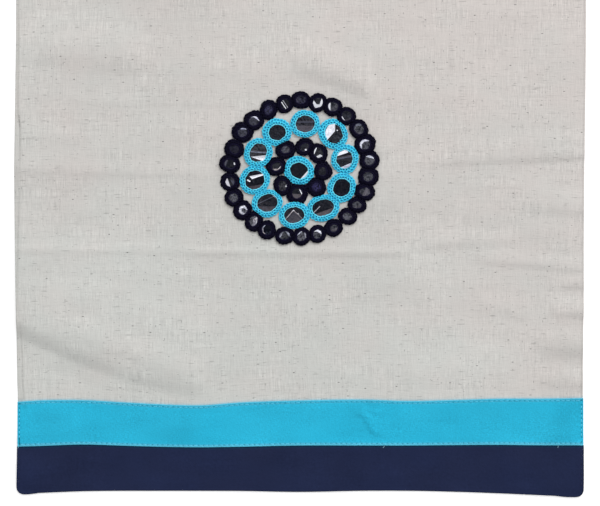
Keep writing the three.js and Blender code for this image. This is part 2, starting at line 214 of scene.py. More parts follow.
def crest_heights(folds, u, v):
    """How far the folds or creases raise the cloth."""
    height = np.zeros(np.shape(u))
    for f in folds:
        (u0, v0), (u1, v1) = f["start"], f["end"]
        t = np.clip((u - u0) / (u1 - u0), 0, 1)
        past = np.maximum(np.maximum(u0 - u, u - u1), 0)
        crest = v0 + (v1 - v0) * t - f.get("sag", 0) * np.sin(np.pi * t)
        half = np.where(v < crest, f["near"], f["far"])
        top = f["heights"][0] + (f["heights"][1] - f["heights"][0]) * t
        height += top * bump((v - crest) / half) * bump(past / f["fade"])
    return height


def wavy(u, v, size, seed):
    """Smooth unevenness from -1 to 1, about `size` across."""
    flat = np.stack([np.ravel(u) / size, np.ravel(v) / size], 1)
    return np.array([noise.noise((a, b, seed)) for a, b in flat]).reshape(np.shape(u))


# The medallion lies flat, because its stiff rings hold the cloth down.
MEDALLION = {"u": 0.4, "v": 201.1, "flat_radius": 52, "fade": 14}
FLOOR_GAP = 0.05  # the least height of the cloth's underside
# Elsewhere it has slight swells of its own: height, size across and seed of each set.
SWELLS = [(0.32, 46, 3.1), (0.16, 19, 7.7), (0.1, 8.5, 1.3)]
MEAN_SWELL = 0.4


def lay(u, v):
    """How high the cloth's underside lies above the surface."""
    away = np.hypot(u - MEDALLION["u"], v - MEDALLION["v"])
    free = ramp((away - MEDALLION["flat_radius"]) / MEDALLION["fade"])
    uneven = MEAN_SWELL + sum(height * wavy(u, v, size, seed) for height, size, seed in SWELLS)
    solid = crest_heights(FOLDS, u, v)
    return np.maximum(solid + (crest_heights(CREASES, u, v) + uneven) * free, FLOOR_GAP)


def linear(code, alpha=1.0):
    """An sRGB hex colour as linear RGBA."""
    rgb = [int(code[i : i + 2], 16) / 255 for i in (1, 3, 5)]
    return (*[c / 12.92 if c <= 0.04045 else ((c + 0.055) / 1.055) ** 2.4 for c in rgb], alpha)


def fill(node, *inputs, **named):
    """Fills a node's sockets, those in use in their order and others by name, with a _ for a space. A
    value may be a hex colour, an output, or a node, which stands for its factor or first output."""
    used = [socket for socket in node.inputs if socket.enabled]
    chosen = [node.inputs[name.replace("_", " ")] for name in named]
    for socket, value in [*zip(used, inputs), *zip(chosen, named.values())]:
        if isinstance(value, bpy.types.Node):
            value = value.outputs.get("Fac") or next(out for out in value.outputs if out.enabled)
        if isinstance(value, bpy.types.NodeSocket):
            node.id_data.links.new(value, socket)
        elif value is not None:
            is_colour = isinstance(value, str) and value.startswith("#")
            socket.default_value = linear(value) if is_colour else value
    return node


def add_node(tree, kind, *inputs, **named):
    """Adds a node and fills its sockets. Its kind goes without its family, and with its mode, if it
    has one: "Math ADD". A name in small letters is a setting, one with a capital a socket."""
    kind, *mode = kind.split()
    families = ("ShaderNode", "GeometryNode", "FunctionNode")
    node = tree.nodes.new(next(f + kind for f in families if hasattr(bpy.types, f + kind)))
    settings = {name: value for name, value in named.items() if name[0].islower()}
    if mode:
        settings["operation" if hasattr(node, "operation") else "data_type"] = mode[0]
    for name, value in settings.items():
        setattr(node, name, value)
    return fill(node, *inputs, **{name: named[name] for name in named if name not in settings})


def new_material(name):
    """A material, what adds nodes to it, and its shader."""
    material = bpy.data.materials.new(name)
    material.use_nodes = True
    shader = next(n for n in material.node_tree.nodes if n.type == "BSDF_PRINCIPLED")
    return material, partial(add_node, material.node_tree), shader


def streaks(add, flat, along, across, detail=2.0, offset=0.0):
    """Noise drawn out along the cloth to `along` by `across` millimetres."""
    place = add("Mapping", flat, (offset, offset, 0), None, (1 / along, 1 / across, 1))
    return add("TexNoise", place, 1.0, detail, noise_dimensions="2D")


def woven_material(name, look):
    """Plain-woven cloth: threads that vary in thickness and shade along their length, soft bars and
    patches where the weave is closer, and here and there a thick dark place or a pale nub."""
    material, add, shader = new_material(name)
    uv = add("UVMap", uv_map="cloth")
    flat = add("VectorMath SCALE", uv, 1 / MM)

    # Single threads are finer than a step of the render, so each streak stands for two or three.
    shade = add("Attribute", attribute_name="shade")
    places = streaks(add, flat, 30, 22, offset=51.9)
    strength = add("MapRange", places, 0.35, 0.65, 0.4, 1.25)
    clouds = []
    for number, (along, across, share) in enumerate(look["streaks"]):
        clouds.append(streaks(add, flat, along, across, offset=17.3 * number))
        moved = add("MapRange", clouds[-1], 0.3, 0.7, -share, share, clamp=False)
        moved = add("Math MULTIPLY", moved, strength)
        shade = add("Math MULTIPLY_ADD", moved, shade, shade)
    factors = []
    for number, (along, across, rare, share) in enumerate(look["marks"]):
        cloud = streaks(add, flat, along, across, detail=0.0, offset=93.1 + 23.9 * number)
        factors.append(add("MapRange", cloud, rare, rare + 0.07, 1.0, 1 + share))

    # The few thickest slubs, each where the photograph shows it.
    for u, v, half_u, half_v, share in look.get("slubs", []):
        place = add("Mapping", flat, (-u / half_u, -v / half_v, 0), None, (1 / half_u, 1 / half_v, 1))
        away = add("VectorMath LENGTH", place)
        factors.append(add("MapRange", away, 0.5, 1.1, 1 + share, 1.0))

    # Needle holes: dots of painted shade at every pitch along each stitch line, which runs along u or v.
    parts = add("SeparateXYZ", flat)
    for along, across, line, pitch, tone in look.get("holes", []):
        turns = add("Math MULTIPLY_ADD", parts.outputs[along], 1 / pitch, 0.5)
        turn = add("Math FRACT", turns)
        past = add("Math MULTIPLY_ADD", turn, pitch, -pitch / 2)
        aside = add("Math SUBTRACT", parts.outputs[across], line)
        spot = add("CombineXYZ", past, aside)
        far = add("VectorMath LENGTH", spot)
        factors.append(add("MapRange", far, 0.3, 0.75, tone, 1.0))
    for factor in factors:
        shade = add("Math MULTIPLY", factor, shade)

    tints = streaks(add, flat, 34, 26, offset=77.1)
    tint = add("MapRange", tints, 0.3, 0.7, -0.2, 0.2)
    warmth = add("Attribute", attribute_name="warmth")
    tint = add("Math ADD", tint, warmth, use_clamp=True)
    base = add("Mix RGBA", tint, look["cool"], look["warm"])
    # A stored share of the look's third colour: painted highlight along the turquoise band's folded
    # edges, painted light along the navy band's seam, and a breath of blue on the linen by the turquoise
    # band.
    worn = add("Attribute", attribute_name="worn")
    base = add("Mix RGBA", worn, base, look["worn"])
    colour = add("VectorMath SCALE", base, shade)
    height = add("Math ADD", *clouds[:2])
    relief = add("Bump", Height=height, Strength=0.6, Distance=0.16 * MM)
    fill(shader, Base_Color=colour, Normal=relief, Roughness=look["roughness"], Sheen_Roughness=0.6,
         Sheen_Weight=look["sheen"], Specular_IOR_Level=look["gloss"])
    return material


def thread_material(name, dark, body, light, gloss, sheen=0.0):
    """Soft spun thread: fine fibres along it. The stored tone is 1 on a ring's rim, where the thread is
    pulled tight and takes a painted highlight, and -1 on the layer under the cords, which takes painted
    shade."""
    material, add, shader = new_material(name)
    place = add("TexCoord").outputs["Object"]
    fibres = add("TexNoise", place, 1.3 / MM, 3.0)
    uneven = add("MapRange", fibres, 0.3, 0.6)
    spun = add("Mix RGBA", uneven, dark, body)
    tone = add("Attribute", attribute_name="tone")
    pulls = add("TexNoise", place, 0.4 / MM)
    pull = add("MapRange", pulls, 0.35, 0.6, 0.25, 0.85)
    # Painted highlight in patches on the rim, and painted shade on the layer under the cords.
    rim_highlight = add("Math MULTIPLY", tone, pull, use_clamp=True)
    core_shade = add("Math MULTIPLY", tone, -0.85, use_clamp=True)
    pale = add("Mix RGBA", rim_highlight, spun, light)
    colour = add("Mix RGBA", core_shade, pale, dark)
    relief = add("Bump", Height=fibres, Strength=0.6, Distance=0.1 * MM)
    fill(shader, Base_Color=colour, Normal=relief, Roughness=0.7, Sheen_Weight=sheen,
         Specular_IOR_Level=gloss)
    return material


def mirror_material():
    """Thin silvered mirror sheet: near black where it shows the dark overhead, white where a dent
    turns it to the light, and a dull mottled grey, or violet, as far as its silver is worn."""
    material, add, shader = new_material("silvered_mirror_sheet")
    place = add("TexCoord").outputs["Object"]
    worn = add("Attribute", attribute_name="worn")
    ripple = add("TexNoise", place, 0.3 / MM, 1.0)
    scuffs = add("TexNoise", place, 0.9 / MM, 2.0)
    scuffs = add("MapRange", scuffs, 0.3, 0.6, 0.0, 0.72)
    scuffed = add("Math MULTIPLY", scuffs, worn)
    height = add("Math MULTIPLY_ADD", scuffed, 0.4, ripple)
    relief = add("Bump", Height=height, Strength=0.4, Distance=0.14 * MM)
    violet = add("Attribute", attribute_name="violet")
    tarnish = add("Mix RGBA", violet, "#9092a8", "#6a5cc8")
    share = add("Math ADD", scuffed, violet, use_clamp=True)
    colour = add("Mix RGBA", share, "#f1f3fb", tarnish)
    film = add("Math POWER", scuffed, 1.8)
    film = add("Math MULTIPLY_ADD", film, -0.45, 0.999)
    dull = add("Math MULTIPLY_ADD", scuffed, 0.14, 0.03)
    fill(shader, Base_Color=colour, Normal=relief, Metallic=film, Roughness=dull)
    return material


# A loose plain weave of slubby, undyed yarn: even from afar, streaky and flecked from near. A streak
# is (size along u, size along v, share of tone), a mark has its rarity before the share, a slub is
# (u, v, half size along u, half size along v, share), and a line of needle holes (direction, the
# other direction, its place there, pitch, tone).
LINEN = woven_material("undyed_slub_linen_plain_weave", {
    "cool": "#c4c5c1", "warm": "#cac4c0", "worn": "#74c6dc",
    "streaks": [(5, 1.0, 0.022), (0.5, 8, 0.066), (0.8, 1.8, 0.022), (45, 1.9, 0.022), (1.3, 50, 0.03)],
    "marks": [(9, 0.85, 0.745, -0.08), (6.5, 0.9, 0.8, -0.24), (2.8, 0.95, 0.866, -0.7),
              (0.9, 2.6, 0.855, -0.4), (2.2, 1.1, 0.84, 0.07)],
    "slubs": [(98.3, 168.5, 0.6, 27, 0.03), (108.3, 244, 0.6, 48, 0.02), (114.5, 226.6, 1.5, 0.75, -0.28),
              (133.3, 217.2, 1.2, 0.6, -0.2), (14.3, 105.2, 1.1, 0.8, -0.25),
              (-167.5, 219.9, 9, 0.5, -0.14), (-172, 219.7, 1.2, 0.6, -0.2), (-164, 219, 1.2, 0.6, -0.25),
              (-164.5, 245, 1.0, 0.6, -0.2)],
    "roughness": 0.92, "gloss": 0.12, "sheen": 0.03,
})

SIDE_LINE = WIDTH / 2 - BAND_STITCH["side_inset"]
# A firm dyed cotton in a close plain weave: flat colour with a small even grain.
TURQUOISE = woven_material("turquoise_cotton_poplin", {
    # The third colour is the paler one of the painted highlight along the band's folded edges.
    "cool": "#25add0", "warm": "#2bb0d2", "worn": "#62b6ce",
    "streaks": [(1.6, 0.6, 0.07), (0.6, 1.6, 0.07), (30, 2, 0.016), (2, 30, 0.016), (26, 14, 0.03)],
    "marks": [(4, 0.7, 0.8, -0.1)],
    # The first slub is painted shade: the side stitches' groove, dark near the band's lower left corner.
    "slubs": [(-176.3, 31.2, 0.45, 3.8, -0.5), (-173.2, 53, 1.5, 1.4, -0.1)],
    "holes": [("X", "Y", TURQUOISE_TOP_V - BAND_STITCH["inset"], BAND_STITCH["pitch"], 0.83),
              ("X", "Y", NAVY_SEAM_V + BAND_STITCH["lower_inset"], BAND_STITCH["pitch"], 0.7),
              ("Y", "X", SIDE_LINE, BAND_STITCH["side_pitch"], 0.6),
              ("Y", "X", -SIDE_LINE, BAND_STITCH["side_pitch"], 0.6)],
    "roughness": 0.85, "gloss": 0.1, "sheen": 0.0,
})

# The same cotton dyed dark: it gives back almost nothing but a faint blue.
NAVY = woven_material("navy_cotton_poplin", {
    # The third colour is the lighter teal of the painted light along the seam.
    "cool": "#202845", "warm": "#222842", "worn": "#123f5a",
    "streaks": [(2.4, 1.2, 0.04), (1.2, 2.4, 0.04), (30, 3, 0.02), (3, 30, 0.02), (26, 14, 0.05)],
    "marks": [(4, 0.7, 0.8, -0.1)],
    "roughness": 0.9, "gloss": 0.04, "sheen": 0.0,
})

# Soft cotton yarn and smoother sewing thread, dyed to match.
# A crochet thread's light colour is its painted highlight on a ring's rim, and its dark one also the
# painted shade on the layer under the cords.
TURQUOISE_CROCHET = thread_material("turquoise_crochet_cotton", "#1a9cc8", "#4ee4ff", "#7be3f7", 0.2, 0.1)
NAVY_CROCHET = thread_material("navy_crochet_cotton", "#060511", "#100e23", "#15122b", 0.05)
TURQUOISE_SEWING = thread_material("turquoise_sewing_thread", "#3eb0d0", "#62c8e4", "#62c8e4", 0.2)
LINEN_SEWING = thread_material("ecru_sewing_thread", "#bab7b0", "#cfcdc7", "#cfcdc7", 0.2)
FADED_SEWING = thread_material("faded_blue_sewing_thread", "#7ea9bd", "#96bfd0", "#96bfd0", 0.2)
NAVY_SEWING = thread_material("navy_sewing_thread", "#14162c", "#262b47", "#262b47", 0.2)
MIRROR = mirror_material()


def finish_piece(obj, nodes=()):
    """Puts a piece on the runner's one body and hides the solids that it stands for."""
    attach(obj, "root")
    if nodes:
        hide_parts(*nodes)
    return obj


def new_object(name, mesh, material=None):
    obj = bpy.data.objects.new(name, mesh)
    bpy.context.scene.collection.objects.link(obj)
    if material:
        mesh.materials.append(material)
    return obj


def store(mesh, name, values):
    """Keeps a value at each of a mesh's points, for its material."""
    mesh.attributes.new(name, "FLOAT", "POINT").data.foreach_set("value", values)


# Distances from a cloth's edge at which its grid has lines, to round the edge and form the hem.
EDGE_LINES = [0, 0.06, 0.2, 0.45, 0.8, 1.1, 1.45, 1.8, 2.2, 2.8, 3.6]
HEM_LINES = [0, 0.06, 0.2, 0.45, 0.8, 1.1, 1.45, 1.8, 2.15, 2.5, 2.85, 3.2, 3.55, 3.9, 4.4, 5.2]


def edged(low, high, step, lines=EDGE_LINES, low_lines=None):
    """Grid lines from low to high, `step` apart between the closer lines along the two edges."""
    near = np.array(lines if low_lines is None else low_lines)
    far = np.array(lines)
    start, stop = low + near[-1], high - far[-1]
    middle = np.arange(math.ceil((start + step / 3) / step) * step, stop - step / 3, step)
    return np.concatenate([low + near, middle, high - far[::-1]])


def slab(name, us, vs, underside, thick, extra=None, cornered=False, tones=None, rounding=None):
    """A closed sheet over the grid of flat lines us and vs. Its top and underside share their edge,
    which is rounded over `rounding`, and extra(u, v, edge distance) raises its top. tones(u, v, edge
    distance) gives the stored shade and warmth of its colour."""
    flat_u, flat_v = np.meshgrid(us, vs)
    if cornered:
        short = np.clip(CORNER_RADIUS - flat_v, 0, CORNER_RADIUS)
        tucked = NAVY_TUCK * ramp((flat_v - NAVY_SEAM_V + 0.5) / 1.5)
        half = us[-1] - CORNER_RADIUS + np.sqrt(CORNER_RADIUS**2 - short**2) - tucked
        flat_u = flat_u / us[-1] * half
        for dip in HEM_DIPS:
            drop = dip["drop"] * bump((flat_u - dip["u"]) / dip["half_width"])
            flat_v = flat_v - drop * ramp(1 - flat_v / HEM_DIP_ENDS_V)
    x, y = lie(flat_u, flat_v)
    side = np.minimum(us - us[0], us[-1] - us)[None, :] + 0 * flat_u
    end = np.minimum(vs - vs[0], vs[-1] - vs)[:, None] + 0 * flat_u
    edge = np.minimum(side, end)
    roundness = np.sqrt(1 - (1 - np.clip(edge / (rounding or thick / 2), 0, 1)) ** 2)
    middle = underside(flat_u, flat_v) + thick / 2
    top = middle + thick / 2 * roundness
    if extra is not None:
        top = top + extra(flat_u, flat_v, side) * roundness
    bottom = middle - thick / 2 * roundness

    rows, columns = flat_u.shape
    above = np.arange(rows * columns).reshape(rows, columns)
    below = above.copy()
    below[1:-1, 1:-1] = rows * columns + np.arange((rows - 2) * (columns - 2)).reshape(rows - 2, -1)
    corners = lambda grid: np.stack([grid[:-1, :-1], grid[:-1, 1:], grid[1:, 1:], grid[1:, :-1]], -1)
    faces = np.concatenate([corners(above).reshape(-1, 4), corners(below).reshape(-1, 4)[:, ::-1]])

    def listed(upper, lower):
        """The values of the top's points, then those of the underside, which shares the edge's."""
        return np.concatenate([np.stack([up.ravel() for up in upper], 1),
                               np.stack([low[1:-1, 1:-1].ravel() for low in lower], 1)])

    mesh = bpy.data.meshes.new(name)
    mesh.from_pydata((listed([x, y, top], [x, y, bottom]) * MM).tolist(), [], faces.tolist())
    loops = np.zeros(len(mesh.loops), int)
    mesh.loops.foreach_get("vertex_index", loops)
    flat = listed([flat_u, flat_v], [flat_u, flat_v])
    mesh.uv_layers.new(name="cloth").data.foreach_set("uv", (flat[loops] * MM).ravel())
    for tone, values in tones(flat_u, flat_v, side).items():
        store(mesh, tone, listed([values], [values]).ravel())
    mesh.shade_smooth()
    mesh.validate()
    return mesh


def hem_line(column, u, v):
    """How far in from its edge a hem's stitch line runs, or how deep it is pulled."""
    return np.where(u < 0, read_table(LEFT_HEM, "v", column, v), read_table(RIGHT_HEM, "v", column, v))


# The linen's smaller unevenness of tone, drawn out across it: share, stretch, size and seed of each.
LINEN_CLOUDS = [(0.025, 1, 60, 9.4), (0.028, 0.3, 16, 4.4), (0.02, 0.25, 6, 2.4)]
MEAN_CLOUD = 0.01

# Broad soft patches of painted light (+) and painted shade (-) where the cloth's gentle waves face toward
# or away from the light: u, v, half width, half length and share of tone of each.
LINEN_PAINTED_SHADING = [
    (19, 266, 34, 26, -0.045), (44, 141, 44, 42, -0.04), (138, 125, 46, 36, -0.036),
    (163, 88, 24, 26, -0.045), (-134, 78.5, 30, 14, -0.045), (-100, 64, 22, 11, -0.045),
    (-159, 225, 36, 12, 0.04), (97, 75, 44, 24, 0.035), (106, 100, 24, 12, 0.03),
    (150, 213, 28, 14, -0.04), (94, 238, 34, 13, -0.03), (56, 225, 20, 14, 0.045),
    (50, 172, 20, 14, -0.04), (-168, 288, 12, 24, 0.05), (153, 153, 26, 13, -0.035),
    (-125, 284, 60, 10, 0.025), (-75, 231, 34, 12, 0.02), (172, 180, 10, 50, 0.025),
    (-165, 178, 14, 40, 0.025), (-155, 140, 30, 10, -0.02),
]
# The same for the turquoise band's soft folds.
TURQUOISE_PAINTED_SHADING = [
    (-85, 42, 60, 30, -0.045), (-135, 40, 30, 24, 0.045), (75, 42, 55, 30, -0.035),
    (163, 32, 12, 24, -0.11), (-160, 54, 28, 9, 0.08), (40, 54, 14, 9, -0.08),
]


def painted_shading(patches, u, v):
    """What the broad soft patches of painted light and shade add to the tone."""
    total = np.zeros(np.shape(u))
    for centre_u, centre_v, half_width, half_length, tone in patches:
        total += tone * bump(np.hypot((u - centre_u) / half_width, (v - centre_v) / half_length))
    return total


def linen_hem(u, v, side):
    """The narrow rolled side hems with the groove that their stitches pull, and the far hem."""
    inset, depth = hem_line("inset", u, v), hem_line("depth", u, v)
    roll = 0.3 * ramp((inset + 0.4 - side) / 0.7)
    groove = -depth * bump((side - inset) / 0.75)
    clear_of_band = ramp((v - TURQUOISE_TOP_V) / 2)
    far = FAR_HEM_RISE * ramp((v - (LENGTH - FAR_HEM_WIDTH)) / 0.8)
    return np.maximum((roll + groove) * clear_of_band, far)


def linen_tones(u, v, side):
    """Where the linen is darker or lighter, and where it is warmer. Painted shade darkens the grooves
    that the hems' stitches pull, most where they bite deep, and the turned edge beside them; broad
    patches of painted light and shade stand for the cloth's gentle waves; and the cloth grows slightly
    pinker toward the upper right. Along the turquoise band it takes a breath of its blue."""
    inset, depth = hem_line("inset", u, v), hem_line("depth", u, v)
    clear = ramp((v - TURQUOISE_TOP_V) / 2)
    # Painted shade in the hems' stitched grooves, on the turned strip beside them and where the left
    # hem's stitches bite deep.
    groove = -0.42 * depth * bump((side - inset) / np.where(u < 0, 1.0, 0.7)) * clear
    turned = -0.045 * ramp((inset + 0.3 - side) / 0.6) * clear * np.where(u < 0, 1, 0.25)
    bite_shade = -0.3 * bump((side - 2.8 + (v - BITE_V) * 0.14) / 0.8) * bump((v - BITE_V) / 6) * (u < 0)
    clouds = sum(share * wavy(stretch * u, v, size, seed) for share, stretch, size, seed in LINEN_CLOUDS)
    # Random clouds of tone, and broad patches of painted light and shade for the cloth's gentle waves.
    patches = clouds + MEAN_CLOUD + painted_shading(LINEN_PAINTED_SHADING, u, v)
    greyed = -0.02 * bump((v - 185) / 80) * (1 - 0.5 * ramp(u / 100))
    warmth = 0.44 + 0.0015 * u + np.interp(v, [60, 300, 500], [-0.43, 0.36, 0])
    warmth += 0.25 * wavy(u, v, 80, 6.2) + 0.4 * bump((u + 145) / 40) * bump((v - 205) / 90)
    warmth += 0.35 * ramp((u - 90) / 50) * bump((v - 100) / 110)
    glow = 0.3 * bump((v - TURQUOISE_TOP_V) / 1.5)
    shade = 1 + groove + turned + bite_shade + patches + greyed
    return {"shade": shade, "warmth": np.clip(warmth, 0.1, 1), "worn": glow}


# The steps of the linen's grid across it, and along it as far as the photograph shows it, beyond that
# and in the far hem. It has closer lines about the turquoise band's upper edge and the far hem's fold.
LINEN_STEPS = {"across": 2.6, "shown": 1.45, "beyond": 18, "hem": 2.5}
SHOWN_TO_V = 305
BEYOND_FROM_V = 322
BAND_EDGE_LINES = [-1, -0.4, 0, 0.45, 0.9, 1.5]
FAR_FOLD_LINES = [-0.4, 0, 0.4]


def make_linen():
    us = edged(-WIDTH / 2, WIDTH / 2, LINEN_STEPS["across"], HEM_LINES)
    start = NAVY_TOP_V + JOIN_GAP
    near = edged(start, SHOWN_TO_V, LINEN_STEPS["shown"], lines=[0], low_lines=EDGE_LINES)
    near = np.union1d(near, TURQUOISE_TOP_V + np.array(BAND_EDGE_LINES))
    fold = LENGTH - FAR_HEM_WIDTH
    middle = np.arange(BEYOND_FROM_V, fold - 6, LINEN_STEPS["beyond"])
    far = edged(fold + 1, LENGTH, LINEN_STEPS["hem"], lines=EDGE_LINES, low_lines=[0])
    vs = np.concatenate([near, middle, fold + np.array(FAR_FOLD_LINES), far])
    mesh = slab("linen_panel_cloth", us, vs, lay, LINEN_THICK, linen_hem, tones=linen_tones)
    return new_object("linen_panel_cloth", mesh, LINEN)


def plain_tones(u, v, side):
    """The bands' slightly uneven dye."""
    shade = 1 + 0.06 * wavy(u, v, 30, 2.8) + 0.05 * wavy(0.5 * u, v, 9, 8.3)
    return {"shade": shade, "warmth": 0.5 + 0.5 * wavy(u, v, 50, 5.2)}


def navy_tones(u, v, side):
    """Painted light: a lighter teal along the seam, which fills in the shade under the turquoise band's
    edge. Painted shade darkens the side edges, where they turn under, the right one most.
    """
    plain = plain_tones(u, v, side)
    # Painted shade along the side edges, where they turn under.
    turned = np.where(u < 0, -0.14, -0.5) * ramp((0.9 - side) / 0.5)
    # Painted light along the seam, which fills in the shade under the turquoise band's edge.
    seam_fill_light = 0.8 * bump((v - NAVY_SEAM_V) / 1.75)
    return {**plain, "shade": plain["shade"] + turned, "worn": seam_fill_light}


def make_navy():
    half = WIDTH / 2 + NAVY_OVERHANG
    us = edged(-half, half, 2.0)
    vs = edged(-HEM_OVERHANG, NAVY_TOP_V, 1.4)
    mesh = slab("navy_band_cloth", us, vs, lay, NAVY_THICK, cornered=True, tones=navy_tones)
    return new_object("navy_band_cloth", mesh, NAVY)


def band_puffs(u, v, side):
    """The turquoise band's stitched edges: a groove at each row of stitches, deepest at the needle
    holes, and small puffs between the holes along the fold."""
    inside = np.minimum(v - NAVY_SEAM_V, TURQUOISE_TOP_V - v)
    wave = np.cos(2 * np.pi * u / BAND_STITCH["pitch"])
    inset = np.where(v < TURQUOISE_MIDDLE_V, BAND_STITCH["lower_inset"], BAND_STITCH["inset"])
    groove = -(0.22 + 0.12 * wave) * bump((inside - inset) / 0.8)
    puff = -0.08 * wave * bump((inside - 0.6) / 1.2)
    side_groove = -0.2 * bump((side - BAND_STITCH["side_inset"]) / 0.6)
    return groove + puff + side_groove


def band_tones(u, v, side):
    """Painted highlight makes the band paler along its folded edges, and lighter too along the lower one;
    painted shade darkens it along its upper row of stitches and at a soft fold near its right end, and
    broad patches of painted light and shade stand for its soft folds. It is also darker along its side
    edges, most at the right, and toward its left end, and lighter in the middle.
    """
    inside = np.minimum(v - NAVY_SEAM_V, TURQUOISE_TOP_V - v)
    lower = ramp((TURQUOISE_MIDDLE_V - v) / 4)
    # Painted highlight along the folded edges: a paler colour at both, and a lighter tone at the lower
    # one.
    rim = ramp((1 - inside) / 0.7)
    upper_edge_highlight = np.maximum(0.11 * ramp((2.8 - inside) / 0.8), 0.75 * rim)
    worn = np.where(v < TURQUOISE_MIDDLE_V, 0.62 * ramp((2.6 - inside) / 2.2), upper_edge_highlight)
    lower_edge_highlight = lower * (0.04 * rim + 0.09 * ramp((3 - inside) / 1.2))
    # Painted shade along the upper row of stitches.
    stitch_row_shade = -0.15 * (1 - lower) * bump((inside - BAND_STITCH["inset"] - 0.1) / 0.9)
    turned = np.where(u < 0, -0.02, -0.12) * ramp((0.9 - side) / 0.4)
    # Painted shade of a soft fold near the right end.
    end = -0.05 * ramp((u - 155) / 12) * ramp((v - TURQUOISE_MIDDLE_V) / 5)
    plain = plain_tones(u, v, side)
    start = -0.055 * ramp((-100 - u) / 60)
    middle = 0.025 * bump((u - 10) / 130)
    shade = plain["shade"] + lower_edge_highlight + stitch_row_shade + turned + start + middle + end
    # Broad patches of painted light and shade for the band's soft folds.
    shade += painted_shading(TURQUOISE_PAINTED_SHADING, u, v)
    return {"shade": shade, "warmth": plain["warmth"], "worn": worn}


def make_turquoise():
    half = WIDTH / 2 + TURQUOISE_OVERHANG
    us = edged(-half, half, BAND_STITCH["pitch"] / 4)
    vs = edged(NAVY_SEAM_V, TURQUOISE_TOP_V, 0.8)
    under = lambda u, v: lay(u, v) + LINEN_THICK + TURQUOISE_GAP
    mesh = slab("turquoise_band_cloth", us, vs, under, TURQUOISE_THICK, band_puffs, tones=band_tones,
                rounding=0.85)
    return new_object("turquoise_band_cloth", mesh, TURQUOISE)


def new_tree(name, sizes, counts):
    """A geometry tree with named inputs. Returns it, what adds nodes to it, its inputs and its output."""
    tree = bpy.data.node_groups.new(name, "GeometryNodeTree")
    sockets = {"Geometry": "Geometry", **dict.fromkeys(sizes, "Float"), **dict.fromkeys(counts, "Int"),
               "Thread": "Material"}
    for socket, kind in sockets.items():
        tree.interface.new_socket(name=socket, in_out="INPUT", socket_type=f"NodeSocket{kind}")
    tree.interface.new_socket(name="Geometry", in_out="OUTPUT", socket_type="NodeSocketGeometry")
    given, out = (tree.nodes.new(kind) for kind in ("NodeGroupInput", "NodeGroupOutput"))
    return tree, partial(add_node, tree), given.outputs, out


def grow(name, tree, sizes, mesh=None):
    """Runs a geometry tree on a new object and returns its result as a plain mesh."""
    obj = new_object(name, mesh or bpy.data.meshes.new(name))
    modifier = obj.modifiers.new("Tree", "NODES")
    modifier.node_group = tree
    for item in tree.interface.items_tree:
        if item.in_out == "INPUT" and item.name in sizes:
            modifier[item.identifier] = sizes[item.name]
    bpy.context.view_layer.update()
    result = bpy.data.meshes.new_from_object(obj.evaluated_get(bpy.context.evaluated_depsgraph_get()))
    bpy.data.objects.remove(obj)
    return result


THREAD_POINTS = 6
THREAD_SIDES = 6
CORD_SIDES = 8


def bowed_thread(add, length, radius, bow, sink):
    """A short thread along X whose middle rises by `bow` and whose ends dip by `sink`, as a node."""
    ends = [add("CombineXYZ", add("Math MULTIPLY", length, share)) for share in (-0.5, 0.5)]
    line = add("CurvePrimitiveLine", *ends)
    line = add("ResampleCurve", line, Count=THREAD_POINTS)
    along = add("SplineParameter")
    centred = add("Math MULTIPLY_ADD", along, 2.0, -1.0)
    squared = add("Math MULTIPLY", centred, centred)
    drop = add("Math ADD", bow, sink)
    fallen = add("Math MULTIPLY", squared, drop)
    height = add("Math SUBTRACT", bow, fallen)
    offset = add("CombineXYZ", Z=height)
    line = add("SetPosition", line, Offset=offset)
    section = add("CurvePrimitiveCircle", THREAD_SIDES, radius)
    return add("CurveToMesh", line, section, Fill_Caps=True)


def sewn_at(add, points, thread, toward, askew, seed, **size):
    """The thread at each point, laid toward a vector and turned askew between two sets of angles."""
    facing = add("AlignRotationToVector", Vector=toward, axis="X")
    turn = add("RandomValue FLOAT_VECTOR", *askew, None, seed)
    turned = add("RotateRotation", facing, turn, rotation_space="LOCAL")
    return add("InstanceOnPoints", points, Instance=thread, Rotation=turned, **size)


def dress(add, part, given, out):
    """Makes instances real, smooths the result and gives it the thread."""
    smooth = add("SetShadeSmooth", add("RealizeInstances", part))
    fill(out, add("SetMaterial", smooth, Material=given["Thread"]))


STITCH_SIZES = ["Length", "Thread Radius", "Rise", "Sink"]


def stitch_tree():
    """One stitch at each point of a line and along it: a short thread whose ends dip into the cloth."""
    tree, add, given, out = new_tree("Topstitching", STITCH_SIZES, ["Seed"])
    path = add("MeshToCurve", given["Geometry"])
    stitch = bowed_thread(add, *(given[size] for size in STITCH_SIZES))
    sizes = add("RandomValue FLOAT", 0.88, 1.08, None, given["Seed"])
    askew = (-0.03, -0.03, -0.09), (0.03, 0.03, 0.09)
    placed = sewn_at(add, path, stitch, add("InputTangent"), askew, given["Seed"], Scale=sizes)
    dress(add, placed, given, out)
    return tree


STITCHES = stitch_tree()


def seam_line(points):
    """An open line through flat points (u, v, height over the cloth's underside), as a mesh."""
    u, v, over = (np.array(column, float) for column in zip(*points))
    x, y = lie(u, v)
    line = np.stack([x, y, lay(u, v) + over], 1) * MM
    mesh = bpy.data.meshes.new("seam_line")
    mesh.from_pydata(line.tolist(), [(i, i + 1) for i in range(len(line) - 1)], [])
    return mesh


def join_meshes(name, meshes):
    """One mesh that holds all of these."""
    joined = bmesh.new()
    for mesh in meshes:
        joined.from_mesh(mesh)
    result = bpy.data.meshes.new(name)
    joined.to_mesh(result)
    joined.free()
    for material in meshes[0].materials:
        result.materials.append(material)
    return result


